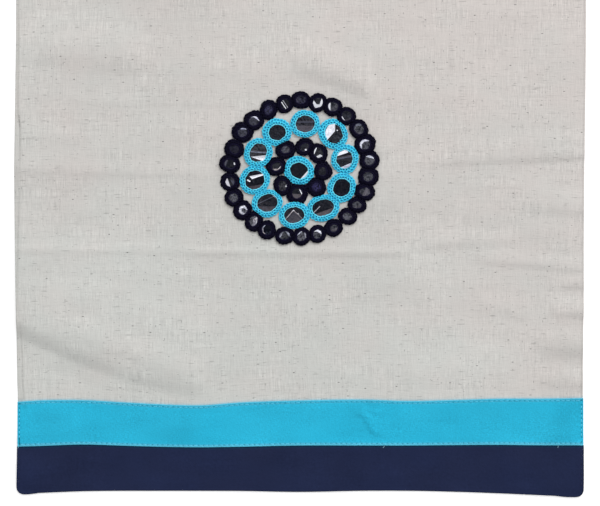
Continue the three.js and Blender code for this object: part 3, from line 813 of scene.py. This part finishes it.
# Kinds of stitches: visible length, thread radius, how far they rise, and how far they sink.
STITCH_KINDS = {
    "band edge": (2.5, 0.24, 0.14, 0.3),
    "band side": (1.7, 0.3, 0.16, 0.3),
    "hem": (2.1, 0.16, 0.08, 0.2),
    "thread end": (1.5, 0.2, 0.1, 0.1),
}

# Loose ends of faded thread that stick out from under the turquoise band: u, v and height of each.
THREAD_ENDS = [
    [(53.4, 28.7, 1.75), (52.3, 27.3, 1.4)],
    [(162, 28.5, 1.7), (161.8, 27.5, 1.5)],
    [(-177, 29.7, 1.6), (-177.1, 28.1, 1.3)],
]


def row_of_stitches(thread, kind, points, seed):
    """One row of stitches through flat points, as a mesh."""
    sizes = {name: size * MM for name, size in zip(STITCH_SIZES, STITCH_KINDS[kind])}
    return grow(kind, STITCHES, {**sizes, "Seed": seed, "Thread": thread}, seam_line(points))


def between_holes(low, high, pitch):
    """The middles of the stitches from low to high. The needle holes lie at each whole pitch."""
    return (np.arange(math.ceil(low / pitch), math.floor(high / pitch)) + 0.5) * pitch


def make_stitching():
    """The stitches of the turquoise band, of the linen's hems and of the navy band's sides, and the
    loose thread ends, as one piece each."""
    edge = WIDTH / 2
    top = LINEN_THICK + TURQUOISE_GAP + TURQUOISE_THICK - BAND_GROOVE
    low, high = NAVY_SEAM_V + BAND_STITCH["lower_inset"], TURQUOISE_TOP_V - BAND_STITCH["inset"]

    def across(v, over, pitch):
        return [(u, v, over) for u in between_holes(-edge + 1, edge - 1, pitch)]

    def down(u, over, start, end):
        return [(u, v, over) for v in between_holes(start, end, BAND_STITCH["side_pitch"])]

    band = [("band edge", across(v, top, BAND_STITCH["pitch"]), 11) for v in (high, low)]
    band += [("band side", down(u, top, low + 1, high - 1), 13) for u in (-SIDE_LINE, SIDE_LINE)]
    middles = between_holes(TURQUOISE_TOP_V + 1, LENGTH - 2, HEM_PITCH)
    hems = []
    for side in (-1, 1):
        inset = hem_line("inset", np.full(len(middles), side), middles)
        points = [(side * (edge - i), v, LINEN_THICK - HEM_GROOVE) for i, v in zip(inset, middles)]
        hems.append(("hem", points, 21 + side))
    far = across(LENGTH - FAR_HEM_WIDTH + FAR_HEM_INSET, LINEN_THICK + FAR_HEM_RISE, HEM_PITCH)
    hems.append(("hem", far, 24))
    navy = [("band side", down(u, NAVY_THICK, 3, low - 2), 31) for u in (-SIDE_LINE, SIDE_LINE)]
    ends = [("thread end", points, 41) for points in THREAD_ENDS]
    pieces = []
    for name, slot, thread, rows in (
        ("turquoise_topstitching", "turquoise_thread", TURQUOISE_SEWING, band),
        ("linen_hem_stitching", "linen", LINEN_SEWING, hems),
        ("navy_side_stitching", "navy_cotton", NAVY_SEWING, navy),
        ("loose_thread_ends", "turquoise_thread", FADED_SEWING, ends),
    ):
        mesh = join_meshes(name, [row_of_stitches(thread, *row) for row in rows])
        pieces.append(finish_piece(new_object(name, mesh)))
    return pieces


# The cords of a ring: how much each waves, in or out of step, how flat it is, its tone, and how far it
# turns at each twist. A tone above 0 is a painted highlight and one below 0 painted shade. The core is
# the flat layer of thread that lines the eyes, dark with painted shade where it lies under the cords.
CORDS = table(
    "name waving phase flat tone twist",
    ("Core", 0.0, 0.0, 0.22, -1.0, 0.0),
    ("Rim", 0.0, 0.0, 0.8, 1.0, math.tau),
    ("Middle", 1.0, 0.0, 0.72, 0.0, math.tau),
    ("Outer", 0.7, math.pi, 0.72, 0.15, math.tau),
)

# The sizes of the small and the large rings. Each cord's radius is that of its middle line, and its
# height is over the cloth.
RING_SIZES = table(
    "size small large",
    ("Rim Radius", 3.65, 5.85), ("Rim Cord", 0.55, 0.38), ("Rim Height", 1.4, 1.55),
    ("Middle Radius", 4.7, 7.25), ("Middle Cord", 0.68, 0.58), ("Middle Height", 1.3, 1.35),
    ("Outer Radius", 5.65, 8.7), ("Outer Cord", 0.52, 0.5), ("Outer Height", 0.7, 0.75),
    ("Core Radius", 4.75, 7.3), ("Core Cord", 1.1, 1.6), ("Core Height", 0.55, 0.5),
    ("Depth", 0.2, 0.26), ("Twist Length", 1.7, 1.9), ("Tie Length", 1.5, 1.5),
    ("Tie Radius", 0.28, 0.3), ("Unevenness", 0.42, 0.26),
)


def ring_tree():
    """A crocheted ring: a smooth cord round the mirror, then two waving cords that meet it and each
    other at every other wave and leave small eyes between, tied by short slanting stitches."""
    sizes = [row["size"] for row in RING_SIZES]
    tree, add, given, out = new_tree("Crocheted ring", sizes, ["Waves", "Steps", "Seed"])
    parts = []
    for cord in CORDS:
        radius, width, height = (given[f'{cord["name"]} {size}'] for size in ("Radius", "Cord", "Height"))
        circle = add("CurvePrimitiveCircle", given["Steps"], radius)
        along = add("SplineParameter")
        turns = add("Math MULTIPLY", along, given["Waves"])
        angle = add("Math MULTIPLY_ADD", turns, math.tau, cord["phase"])
        wave = add("Math COSINE", angle)
        depth = add("Math MULTIPLY", given["Depth"], cord["waving"])
        wave = add("Math MULTIPLY", wave, depth)
        place = add("InputPosition")
        outward = add("VectorMath NORMALIZE", place)
        shift = add("VectorMath SCALE", outward, wave)
        lift = add("CombineXYZ", Z=height)
        offset = add("VectorMath ADD", shift, lift)
        circle = add("SetPosition", circle, Offset=offset)
        length = add("Math MULTIPLY", radius, math.tau)
        twists = add("Math DIVIDE", length, given["Twist Length"])
        twists = add("Math ROUND", twists)
        tilt = add("Math MULTIPLY", twists, cord["twist"])
        tilt = add("Math MULTIPLY", tilt, along)
        circle = add("SetCurveNormal", circle, mode="Z_UP")
        circle = add("SetCurveTilt", circle, Tilt=tilt)
        section = add("CurvePrimitiveCircle", CORD_SIDES, width)
        section = add("Transform", section, Scale=(1.0, cord["flat"], 1.0))
        tube = add("CurveToMesh", circle, section)
        parts.append(add("StoreNamedAttribute", tube, Name="tone", Value=cord["tone"]))

    # The ties: one short bowed stitch across two cords at each place where they meet.
    half = add("Math MULTIPLY", given["Tie Length"], 0.25)
    tie = bowed_thread(add, given["Tie Length"], given["Tie Radius"], half, half)
    for inner, outer, turn in (("Rim", "Middle", 0.5), ("Middle", "Outer", 0.0)):
        total = add("Math ADD", given[f"{inner} Radius"], given[f"{outer} Radius"])
        middle = add("Math MULTIPLY", total, 0.5)
        spots = add("MeshCircle", given["Waves"], middle)
        step = add("Math DIVIDE", math.tau * turn, given["Waves"])
        spin = add("CombineXYZ", Z=step)
        up = add("CombineXYZ", Z=given[f"{inner} Height"])
        spots = add("Transform", spots, Rotation=spin, Translation=up)
        slant = (-0.1, 0.0, 0.15), (0.1, 0.0, 0.55)
        parts.append(sewn_at(add, spots, tie, add("InputPosition"), slant, given["Seed"]))
    joined = add("JoinGeometry")
    for part in reversed(parts):
        fill(joined, part)
    strayed = add("RealizeInstances", joined)

    # Handwork: the whole ring strays a little from round, and each thread a little from its row.
    place = add("InputPosition")
    shift = add("Math MULTIPLY", given["Seed"], 0.071)
    aside = add("CombineXYZ", shift, shift, shift)
    seeded = add("VectorMath ADD", place, aside)
    for scale, share in ((0.11 / MM, 2.0), (0.3 / MM, 1.0), (0.6 / MM, 0.7)):
        cloud = add("TexNoise", seeded, scale, 0.0)
        around = add("VectorMath SUBTRACT", cloud.outputs["Color"], (0.5, 0.5, 0.5))
        amount = add("Math MULTIPLY", given["Unevenness"], share)
        offset = add("VectorMath SCALE", around, amount)
        strayed = add("SetPosition", strayed, Offset=offset)
    dress(add, strayed, given, out)
    return tree


RING = ring_tree()

# What else tells the small navy rings from the large turquoise ones. They reach from `inside`, where
# the cords begin, to `reach`, their outline.
RING_KINDS = {
    "small": {"thread": NAVY_CROCHET, "slot": "navy_thread", "waves": 14, "inside": 3.2, "reach": 6.07},
    "large": {"thread": TURQUOISE_CROCHET, "slot": "turquoise_thread", "waves": 24, "inside": 5.25,
              "reach": 9.1},
}
STEPS_PER_WAVE = 9
SMALL_SPREAD = (0.96, 1.05)  # the small rings vary by a share between these
MEDALLION_SEED = 45
RING_OVERLAP = 0.5  # how far two neighbours' loose outer threads mix
STRAY = 0.6  # a ring's share in how far its opening strays
MIRROR_HEIGHT = 0.8
MIRROR_THICK = 0.3
MIRROR_MARGIN = 0.7
MIRROR_GRID = 14
MIRROR_ASKEW = 0.01  # the most that a mirror slopes
MIRROR_BEND = 0.02  # the most that its bend adds to the slope at its edge
DENT_ANGLE = 3  # degrees between faces from which a crease in a mirror is sharp

# The circles of rings, as in the solids, slightly oval along oval_at and off the medallion's middle by
# du and dv.
CIRCLES = table(
    "name kind radius oval oval_at du dv",
    ("outer_navy", "small", 42.9, 0.8, 31, -0.35, -0.2),
    ("middle_turquoise", "large", 28.8, 0.8, 48, 0.15, -0.5),
    ("inner_navy", "small", 15, 0.2, -46, -0.2, -0.6),
    ("centre_turquoise", "large", 0, 0, 0, -0.4, -1.2),
)

# Each ring and how its mirror shows. angle is where its centre stands in its circle, in degrees, size
# the ring's beside its usual one, and violet and worn say how violet its silver has tarnished and how
# far it is worn. aside and up are how far its opening strays from the ring's own place, and long,
# short and turn the opening's half length, half width and turn.
EYE_COLUMNS = "angle size violet aside up long short turn worn dents"
# A dent is the slope of the sheet beyond its edges, each edge facing `toward` degrees and lying
# `past` millimetres from the middle: min where all the edges are passed, max where any is. A steep
# one catches the light.
STEEP = 0.27
SLIGHT = 0.135
EYES = {}
EYES["outer_navy"] = table(
    EYE_COLUMNS,
    (90, 0.98, 0.35, 0.4, 0.8, 3.2, 2.6, 0, 0.7, [(0.12, max, (200, 2.3), (-100, 1.9))]),
    (76, 0.97, 0.0, 0.6, -0.3, 3.4, 3.0, 45, 0.4, [(STEEP, max, (215, 1.3), (265, 0.9), (-20, 1.2))]),
    (63, 0.96, 0.0, 0.6, 0.4, 3.2, 2.8, -10, 0.6, [(STEEP, min, (180, 1.5)), (0.11, min, (-50, 0.3))]),
    (49, 0.94, 0.1, 0.3, 0.1, 3.1, 2.9, 0, 0.4, [(STEEP, min, (215, 2.3)), (SLIGHT, min, (-75, 1.6))]),
    (34.5, 0.98, 0.0, 0.7, 0.4, 3.3, 2.9, -54, 0.75, [
        (SLIGHT, max, (100, 1.9), (160, 2.1), (-110, 2.0))]),
    (21, 1.08, 0.1, -0.4, -0.2, 3.4, 3.2, 17, 0.85, [(STEEP, max, (100, 1.6), (140, 1.3), (180, 1.7))]),
    (7, 1.05, 0.0, 0.3, 0.1, 3.3, 3.1, 60, 0.85, [(STEEP, min, (76, 1.7)), (-0.08, min, (76, 0.9))]),
    (-6.5, 1.06, 0.0, -0.1, 0.2, 3.1, 2.8, 22, 0.8),
    (-19.5, 1.03, 0.0, 0.5, 0.1, 3.3, 2.7, 0, 0.6, [(SLIGHT, min, (-25, -0.5))]),
    (-32, 0.92, 0.0, -0.2, 0.2, 2.8, 2.3, 0, 0.8, [(0.1, min, (-90, 0.6))]),
    (-44.5, 0.94, 0.0, -0.2, 0, 3.0, 2.5, -19, 1.0),
    (-60, 0.91, 0.0, 0.4, -0.3, 2.5, 2.1, 34, 0.6, [(SLIGHT, min, (-70, 0.4))]),
    (-74.5, 0.91, 0.0, -0.1, 0.1, 3.0, 2.6, 70, 0.8, [(STEEP, max, (60, 1.2), (95, 1.7))]),
    (-88, 0.96, 0.0, -0.2, 0.5, 3.2, 2.8, 43, 0.95, [(0.19, max, (130, 2.0), (15, 2.1))]),
    (-102.5, 0.92, 0.0, 0, 0.3, 3.3, 2.6, 10, 0.6, [(0.165, max, (150, 1.8), (40, 1.9))]),
    (-118, 1.0, 0.0, -0.1, 0.3, 3.1, 3.0, 60, 0.05, [(0.18, max, (180, 2.1), (140, 2.4), (220, 2.4))]),
    (-131, 1.0, 0.0, 0.1, 0.4, 3.2, 2.5, 80, 0.9, [
        (0.165, min, (-10, -0.6), (-60, -1.2)), (0.06, min, (10, 1.2))]),
    (-144, 0.98, 0.0, 0, 0.2, 3.1, 2.6, 70, 1.1, [
        (STEEP, max, (100, 1.1), (170, 0.7), (240, 1.2), (50, 1.5))]),
    (-156, 0.95, 0.0, -1.1, 0, 2.8, 2.7, 0, 1.0),
    (-169.5, 1.06, 0.0, -0.3, 0, 2.9, 2.7, 24, 0.3, [(0.2, min, (200, 0.9)),
        (SLIGHT, min, (30, 0.7), (-60, -1.0))]),
    (-184, 1.08, 0.0, -0.3, 0.2, 3.4, 2.7, -16, 0.25, [(STEEP, min, (5, 2.5), (90, -0.5), (-90, -0.9)),
        (SLIGHT, min, (160, 1.9))]),
    (-197, 1.05, 0.4, 0.3, 0, 3.0, 2.5, -10, 0.4),
    (-213, 1.11, 0.2, 0, -0.1, 3.0, 2.8, 0, 0.8, [(0.15, min, (90, 1.8))]),
    (-226.5, 1.1, 0.2, 0.4, -0.4, 3.3, 2.8, 18, 0.7, [(STEEP, max, (55, 1.7), (95, 2.3))]),
    (-241.5, 0.96, 0.4, 0.4, 0, 2.8, 2.4, 70, 0.9),
    (-256, 0.94, 0.0, 0.7, -0.3, 2.9, 2.7, 72, 0.25, [(STEEP, min, (214, 0.95), (34, -1.45)),
        (0.2, min, (214, -0.25), (34, 0.0))]),
)
EYES["middle_turquoise"] = table(
    EYE_COLUMNS,
    (85, 0.98, 0.15, 0.1, -0.5, 5.8, 4.9, 0, 0.5, [(0.165, min, (-90, 1.0)),
        (0.115, min, (-88, -2.1), (90, 0.9))]),
    (48.5, 1.02, 0.0, 0.9, 0.3, 5.75, 4.85, -55, 0.4, [(STEEP, min, (180, -0.86), (139, 0.43)),
        (-0.1, min, (185, 3.2), (80, -1.6), (-80, -0.9)),
        (STEEP, min, (0, 1.85), (180, -2.6), (90, 1.65), (-90, -2.35))]),
    (13, 0.98, 0.0, -0.9, 0.2, 5.45, 4.75, 80, 0.35, [(STEEP, min, (109, 3.0), (200, -3.6)),
        (SLIGHT, min, (100, 0.25), (-80, -1.65)), (-0.165, min, (-66, 4.0))]),
    (-23.5, 1.0, 0.0, 0, -0.1, 5.4, 4.85, 54, 0.2),
    (-59.5, 1.01, 0.0, 0, 0.5, 6.6, 4.8, 14, 0.25, [(0.18, min, (136, 1.7), (-44, -2.2), (225, 0.8)),
        (SLIGHT, min, (-70, 2.2))]),
    (-97.5, 1.0, 0.0, 0, 0.4, 6.0, 4.7, 8, 0.3, [(0.135, min, (-41, -2.6), (226, -2.2)),
        (0.06, min, (-41, -2.6), (139, 1.5), (226, -2.2)),
        (0.04, min, (226, -2.2), (46, 1.0), (-41, -2.6))]),
    (-134, 1.01, 0.0, 0.2, 0.4, 6.2, 5.25, 19, 0.25, [(SLIGHT, min, (-90, 2.1)),
        (SLIGHT, min, (115, 2.0), (-65, -2.4)), (0.14, min, (45, 5.6))]),
    (-167, 1.03, 0.0, 0.1, 0, 6.0, 5.4, 33, 0.2, [(STEEP, min, (-79, -2.95), (109, 1.1), (43, -0.9)),
        (STEEP, min, (240, 1.8), (60, -2.7), (-30, -4.2), (150, 2.0)), (SLIGHT, min, (-80, 3.4))]),
    (-201.5, 1.0, 0.0, 0, 0.1, 5.7, 5.0, 63, 0.5, [(STEEP, min, (-84, 1.95), (70, -3.9)),
        (SLIGHT, min, (-95, -1.4), (85, 0))]),
    (-237.5, 0.98, 0.2, 0.5, -0.6, 5.0, 4.5, 15, 0.4),
)
EYES["inner_navy"] = table(
    EYE_COLUMNS,
    (80, 0.98, 0.0, 0.2, -0.7, 2.9, 2.3, 34, 0.4, [(STEEP, min, (-60, 1.25), (-150, -0.5), (30, -0.55))]),
    (42.5, 1.07, 0.0, 0.6, 0.4, 3.3, 2.8, -60, 0.4, [(STEEP, min, (158, 2.1)),
        (STEEP, min, (-60, 1.2), (-120, 0.2))]),
    (-2, 1.01, 0.0, -0.9, -0.5, 2.6, 2.4, -78, 0.3),
    (-48, 1.06, 0.6, 0.3, 0.6, 2.9, 2.8, 60, 0.9),
    (-95, 1.13, 0.0, -0.2, 0.1, 3.3, 2.9, 42, 0.25, [(STEEP, min, (25, 2.2)), (0.16, min, (-95, 0.4))]),
    (-137.5, 1.04, 0.0, 0.3, 0.2, 3.1, 2.7, 90, 0.5, [(STEEP, min, (-20, 1.9), (90, -0.9))]),
    (-189, 1.0, 0.0, 0.4, -0.3, 2.8, 2.5, 16, 0.35, [(0.2, max, (-90, 1.5), (-45, 1.75))]),
    (-233.5, 1.0, 0.0, 0.2, 0.4, 2.8, 2.3, 5, 0.6, [(0.11, min, (150, 0.3)), (0.12, min, (-40, 0.2))]),
)
EYES["centre_turquoise"] = table(
    EYE_COLUMNS,
    (0, 1.02, 0.0, -0.3, 0.1, 5.5, 4.6, -21, 0.2, [(STEEP, min, (-42, 4.2))]),
)


def heading(degrees):
    """The unit vector toward an angle."""
    return Vector((math.cos(math.radians(degrees)), math.sin(math.radians(degrees)), 0))


def mirror_mesh(name, opening, random):
    """A thin mirror sheet a little wider than its opening, dented, a little bent and slightly askew."""
    dents, cuts = [], []
    for slope, combine, *edges in opening.get("dents", ()):
        lines = [(heading(toward), past) for toward, past in edges]
        dents.append((slope, combine, lines))
        pairs = combinations(lines, 2)
        cuts += lines + [(one - two, past - beyond) for (one, past), (two, beyond) in pairs]
    plate = bmesh.new()
    bmesh.ops.create_grid(plate, x_segments=MIRROR_GRID, y_segments=MIRROR_GRID, size=1)
    for vertex in plate.verts:
        x, y = vertex.co.x, vertex.co.y
        vertex.co.x = x * math.sqrt(1 - y * y / 2) * (opening["long"] + MIRROR_MARGIN)
        vertex.co.y = y * math.sqrt(1 - x * x / 2) * (opening["short"] + MIRROR_MARGIN)
    turn = Matrix.Rotation(math.radians(opening["turn"]), 3, "Z")
    bmesh.ops.rotate(plate, verts=plate.verts, matrix=turn)
    for normal, past in cuts:
        everything = plate.verts[:] + plate.edges[:] + plate.faces[:]
        place = normal * past / normal.length_squared
        bmesh.ops.bisect_plane(plate, geom=everything, plane_co=place, plane_no=normal)
    askew = random.uniform(-MIRROR_ASKEW, MIRROR_ASKEW, 2)
    bent = random.uniform(-MIRROR_BEND, MIRROR_BEND, 2) / opening["long"] / 2
    lowest = 0
    for vertex in plate.verts:
        flat = vertex.co.copy()
        fallen = sum(slope * max(combine(flat.dot(normal) - past for normal, past in lines), 0)
                     for slope, combine, lines in dents)
        lowest = max(lowest, fallen)
        tilted = askew[0] * flat.x + askew[1] * flat.y
        vertex.co.z = tilted - fallen + bent[0] * flat.x**2 + bent[1] * flat.y**2
    bmesh.ops.translate(plate, verts=plate.verts, vec=(0, 0, lowest / 2))
    walls = bmesh.ops.extrude_face_region(plate, geom=plate.faces[:])
    moved = [item for item in walls["geom"] if isinstance(item, bmesh.types.BMVert)]
    bmesh.ops.translate(plate, verts=moved, vec=(0, 0, MIRROR_THICK))
    bmesh.ops.recalc_face_normals(plate, faces=plate.faces[:])
    mesh = bpy.data.meshes.new(name)
    plate.to_mesh(mesh)
    plate.free()
    for tone in ("worn", "violet"):
        store(mesh, tone, np.full(len(mesh.vertices), opening[tone]))
    mesh.shade_smooth()
    mesh.set_sharp_from_angle(angle=math.radians(DENT_ANGLE))
    return mesh


def ring_spots(random):
    """Every ring's place, size, opening and solids. A ring strays with its opening, but less."""
    spots = []
    for circle in CIRCLES:
        for number, opening in enumerate(EYES[circle["name"]], 1):
            angle, oval_at = math.radians(opening["angle"]), math.radians(circle["oval_at"])
            radius = circle["radius"] + circle["oval"] * math.cos(2 * (angle - oval_at))
            u = MEDALLION["u"] + circle["du"] + radius * math.cos(angle)
            v = MEDALLION["v"] + circle["dv"] + radius * math.sin(angle)
            u, v = np.array(u + STRAY * opening["aside"]), np.array(v + STRAY * opening["up"])
            x, y = lie(u, v)
            large = circle["kind"] == "large"
            solid = lambda part: f'{circle["name"]}_{part}_{number:02d}'
            spots.append({
                **RING_KINDS[circle["kind"]], "kind": circle["kind"], "opening": opening,
                "label": f'{circle["name"]}_{number:02d}',
                "place": Vector((x, y, lay(u, v) + LINEN_THICK)),
                "shift": (1 - STRAY) * Vector((opening["aside"], opening["up"], 0)),
                "size": opening["size"] * (1.0 if large else random.uniform(*SMALL_SPREAD)),
                "ring_solid": solid("ring"),
                "mirror_solid": solid("mirror" if large else "ring"),
            })
    return spots


def eye_edge(opening, shift, angle):
    """How far the opening reaches from the ring's own centre, in each direction."""
    turn = math.radians(opening["turn"])
    along, across = np.cos(angle - turn) / opening["long"], np.sin(angle - turn) / opening["short"]
    centre = Matrix.Rotation(-turn, 3, "Z") @ shift
    centre_along, centre_across = centre.x / opening["long"], centre.y / opening["short"]
    inner = along * centre_along + across * centre_across
    size = along**2 + across**2
    return (inner + np.sqrt(inner**2 + size * (1 - centre_along**2 - centre_across**2))) / size


def lumps(angle, count, seed):
    """Smooth unevenness round a ring, from -1 to 1, with about `count` rises."""
    around = np.linspace(0, math.tau, 145)
    reach = count / 3
    heights = [noise.noise((reach * math.cos(a), reach * math.sin(a), 3.7 * seed)) for a in around]
    return np.interp(np.mod(angle, math.tau), around, heights)


def shape_ring(mesh, ring, spots, seed):
    """Draws a ring to its own opening and outline, and presses it flat where a neighbour touches it.
    Both give way as far as each is wide."""
    points = np.zeros(len(mesh.vertices) * 3)
    mesh.vertices.foreach_get("co", points)
    points = points.reshape(-1, 3) / MM
    away = np.hypot(points[:, 0], points[:, 1])
    angle = np.arctan2(points[:, 1], points[:, 0])
    opening = ring["opening"]
    inside, reach = ring["inside"], ring["reach"]
    edge = eye_edge(opening, ring["shift"], angle)
    edge *= 1 + 0.06 * lumps(angle, 4, seed) + 0.07 * lumps(angle, 11, seed + 0.5)
    oval = (opening["long"] - opening["short"]) / 2
    limit = reach * ring["size"] + oval * np.cos(2 * (angle - math.radians(opening["turn"])))
    limit += 0.35 * lumps(angle, 5, seed + 0.2)
    for other in spots:
        gap = other["place"] - ring["place"]
        apart = math.hypot(gap.x, gap.y)
        total = reach + other["reach"]
        if other is ring or apart > total:
            continue
        facing = np.cos(angle - math.atan2(gap.y, gap.x))
        share = (apart + RING_OVERLAP) * reach / total
        limit = np.where(facing > 0, np.minimum(limit, share / np.maximum(facing, 0.01)), limit)
    limit = np.maximum(limit, edge + 1)
    wide = (away - inside) * (limit - edge) / (reach - inside)
    drawn = np.where(away > inside, edge + wide, away * edge / inside)
    points[:, :2] *= (drawn / away)[:, None]
    mesh.vertices.foreach_set("co", (points * MM).ravel())


def make_medallion():
    """Each ring and each mirror, one piece each, on the place of its solid."""
    random = np.random.default_rng(MEDALLION_SEED)
    spots = ring_spots(random)
    for seed, spot in enumerate(spots, 1):
        name = f'{spot["label"]}_crochet'
        given = {row["size"]: row[spot["kind"]] * MM for row in RING_SIZES}
        given.update(Waves=spot["waves"], Steps=spot["waves"] * STEPS_PER_WAVE, Seed=seed,
                     Thread=spot["thread"])
        mesh = grow(name, RING, given)
        mesh.transform(Matrix.Rotation(random.uniform(0, math.tau), 4, "Z"))
        shape_ring(mesh, spot, spots, seed)
        mesh.transform(Matrix.Translation(spot["place"] * MM))
        finish_piece(new_object(name, mesh), [spot["ring_solid"]])

        name = f'{spot["label"]}_glass'
        mesh = mirror_mesh(name, spot["opening"], random)
        place = spot["place"] + spot["shift"] + Vector((0, 0, MIRROR_HEIGHT))
        mesh.transform(Matrix.Translation(place * MM) @ Matrix.Scale(MM, 4))
        finish_piece(new_object(name, mesh, MIRROR), [spot["mirror_solid"]])


# The studio is laid out in metres. Its sky has a colour for each height, 1 straight overhead, and is
# dark there, where the camera stands.
SKY = [(0.0, "#cecece"), (0.6, "#e7e7e7"), (0.88, "#ffffff"), (0.93, "#e0e1e4"), (0.95, "#676970"),
       (0.985, "#1d202d"), (1.0, "#0c1019")]
KEY = {"place": (2.3, 3.5, 3.9), "aim": (0, -0.53, 0), "size": (3.2, 2.4), "watts": 196}
FLOOR_REACH = 30
CAMERA_HEIGHT = 2.4


def make_studio():
    """A white floor, an even white sky, and a large soft light high beyond the far right corner."""
    mesh = bpy.data.meshes.new("floor")
    corners = [(-1, -1), (1, -1), (1, 1), (-1, 1)]
    mesh.from_pydata([(x * FLOOR_REACH, y * FLOOR_REACH, 0) for x, y in corners], [], [(0, 1, 2, 3)])
    # White paper lit from beneath too, which leaves hardly a shadow on it.
    material, add, shader = new_material("white_paper_on_a_light_table")
    fill(shader, Base_Color=(0.85, 0.85, 0.85, 1), Roughness=0.9, Specular_IOR_Level=0.1,
         Emission_Color=(1, 1, 1, 1), Emission_Strength=0.45)
    new_object("floor", mesh, material)

    world = bpy.data.worlds.new("soft_studio")
    bpy.context.scene.world = world
    world.use_nodes = True
    add = partial(add_node, world.node_tree)
    background = next(n for n in world.node_tree.nodes if n.type == "BACKGROUND")
    toward = add("TexCoord").outputs["Generated"]
    parts = add("SeparateXYZ", toward).outputs
    sky = add("ValToRGB", parts["Z"])
    while len(sky.color_ramp.elements) < len(SKY):
        sky.color_ramp.elements.new(0.5)
    for element, (position, colour) in zip(sky.color_ramp.elements, SKY):
        element.position = position
        element.color = linear(colour)
    bias = add("Math MULTIPLY_ADD", parts["Y"], 0.4, 1.0)
    light = add("VectorMath SCALE", sky, bias)
    # The dark overhead is warmer toward the hem and cooler beyond it, which only the mirrors show.
    side = add("MapRange", parts["Y"], -0.32, 0.32)
    cast = add("Mix RGBA", side, "#ffe8dc", "#e6eeff")
    overhead = add("MapRange", parts["Z"], 0.91, 0.945)
    cast = add("Mix RGBA", overhead, "#ffffff", cast)
    light = add("VectorMath MULTIPLY", light, cast)
    # What little the mirrors show of the room: dim patches and thin bars, some brownish, some violet.
    room = add("TexNoise", toward, 14.0, 0.0)
    dim = add("MapRange", room, 0.5, 0.62, 0.0, 0.008)
    bars = add("TexWave", toward, Scale=4.2, Distortion=3.0, Detail_Scale=2.0, bands_direction="DIAGONAL")
    thin = add("MapRange", bars, 0.88, 0.98, 0.0, 0.06)
    dim = add("Math ADD", dim, thin)
    hues = add("TexNoise", toward, 7.0, 0.0)
    hue = add("MapRange", hues, 0.48, 0.64)
    tint = add("Mix RGBA", hue, "#c9d4f2", "#ecd6d2")
    glow = add("VectorMath SCALE", tint, dim)
    total = add("VectorMath ADD", light, glow)
    fill(background, Color=total, Strength=0.98)

    key = bpy.data.lights.new("key", "AREA")
    key.shape = "RECTANGLE"
    key.size, key.size_y = KEY["size"]
    key.energy = KEY["watts"]
    lamp = bpy.data.objects.new("key", key)
    bpy.context.scene.collection.objects.link(lamp)
    lamp.location = KEY["place"]
    lamp.rotation_euler = (Vector(KEY["place"]) - Vector(KEY["aim"])).to_track_quat("Z", "Y").to_euler()


def make_camera():
    """Straight above the decorated end, framed as the photograph is."""
    data = bpy.data.cameras.new("camera")
    data.lens = data.sensor_width * CAMERA_HEIGHT / (PHOTO_WIDTH * PIXEL * MM)
    camera = bpy.data.objects.new("camera", data)
    bpy.context.scene.collection.objects.link(camera)
    x = (PHOTO_WIDTH / 2 - PHOTO_CENTRE_X) * PIXEL * MM
    y = ((PHOTO_HEM_Y - PHOTO_HEIGHT / 2) * PIXEL - ORIGIN_V) * MM
    camera.location = (x, y, CAMERA_HEIGHT + LINEN_THICK * MM)
    bpy.context.scene.camera = camera


make_studio()
make_camera()

linen = finish_piece(make_linen(), ["linen_panel"])
navy = finish_piece(make_navy(), ["navy_band"])
turquoise = finish_piece(make_turquoise(), ["turquoise_band"])
band_stitching, hem_stitching, navy_stitching, thread_ends = make_stitching()
make_medallion()

bpy.context.scene.view_settings.view_transform = "Standard"
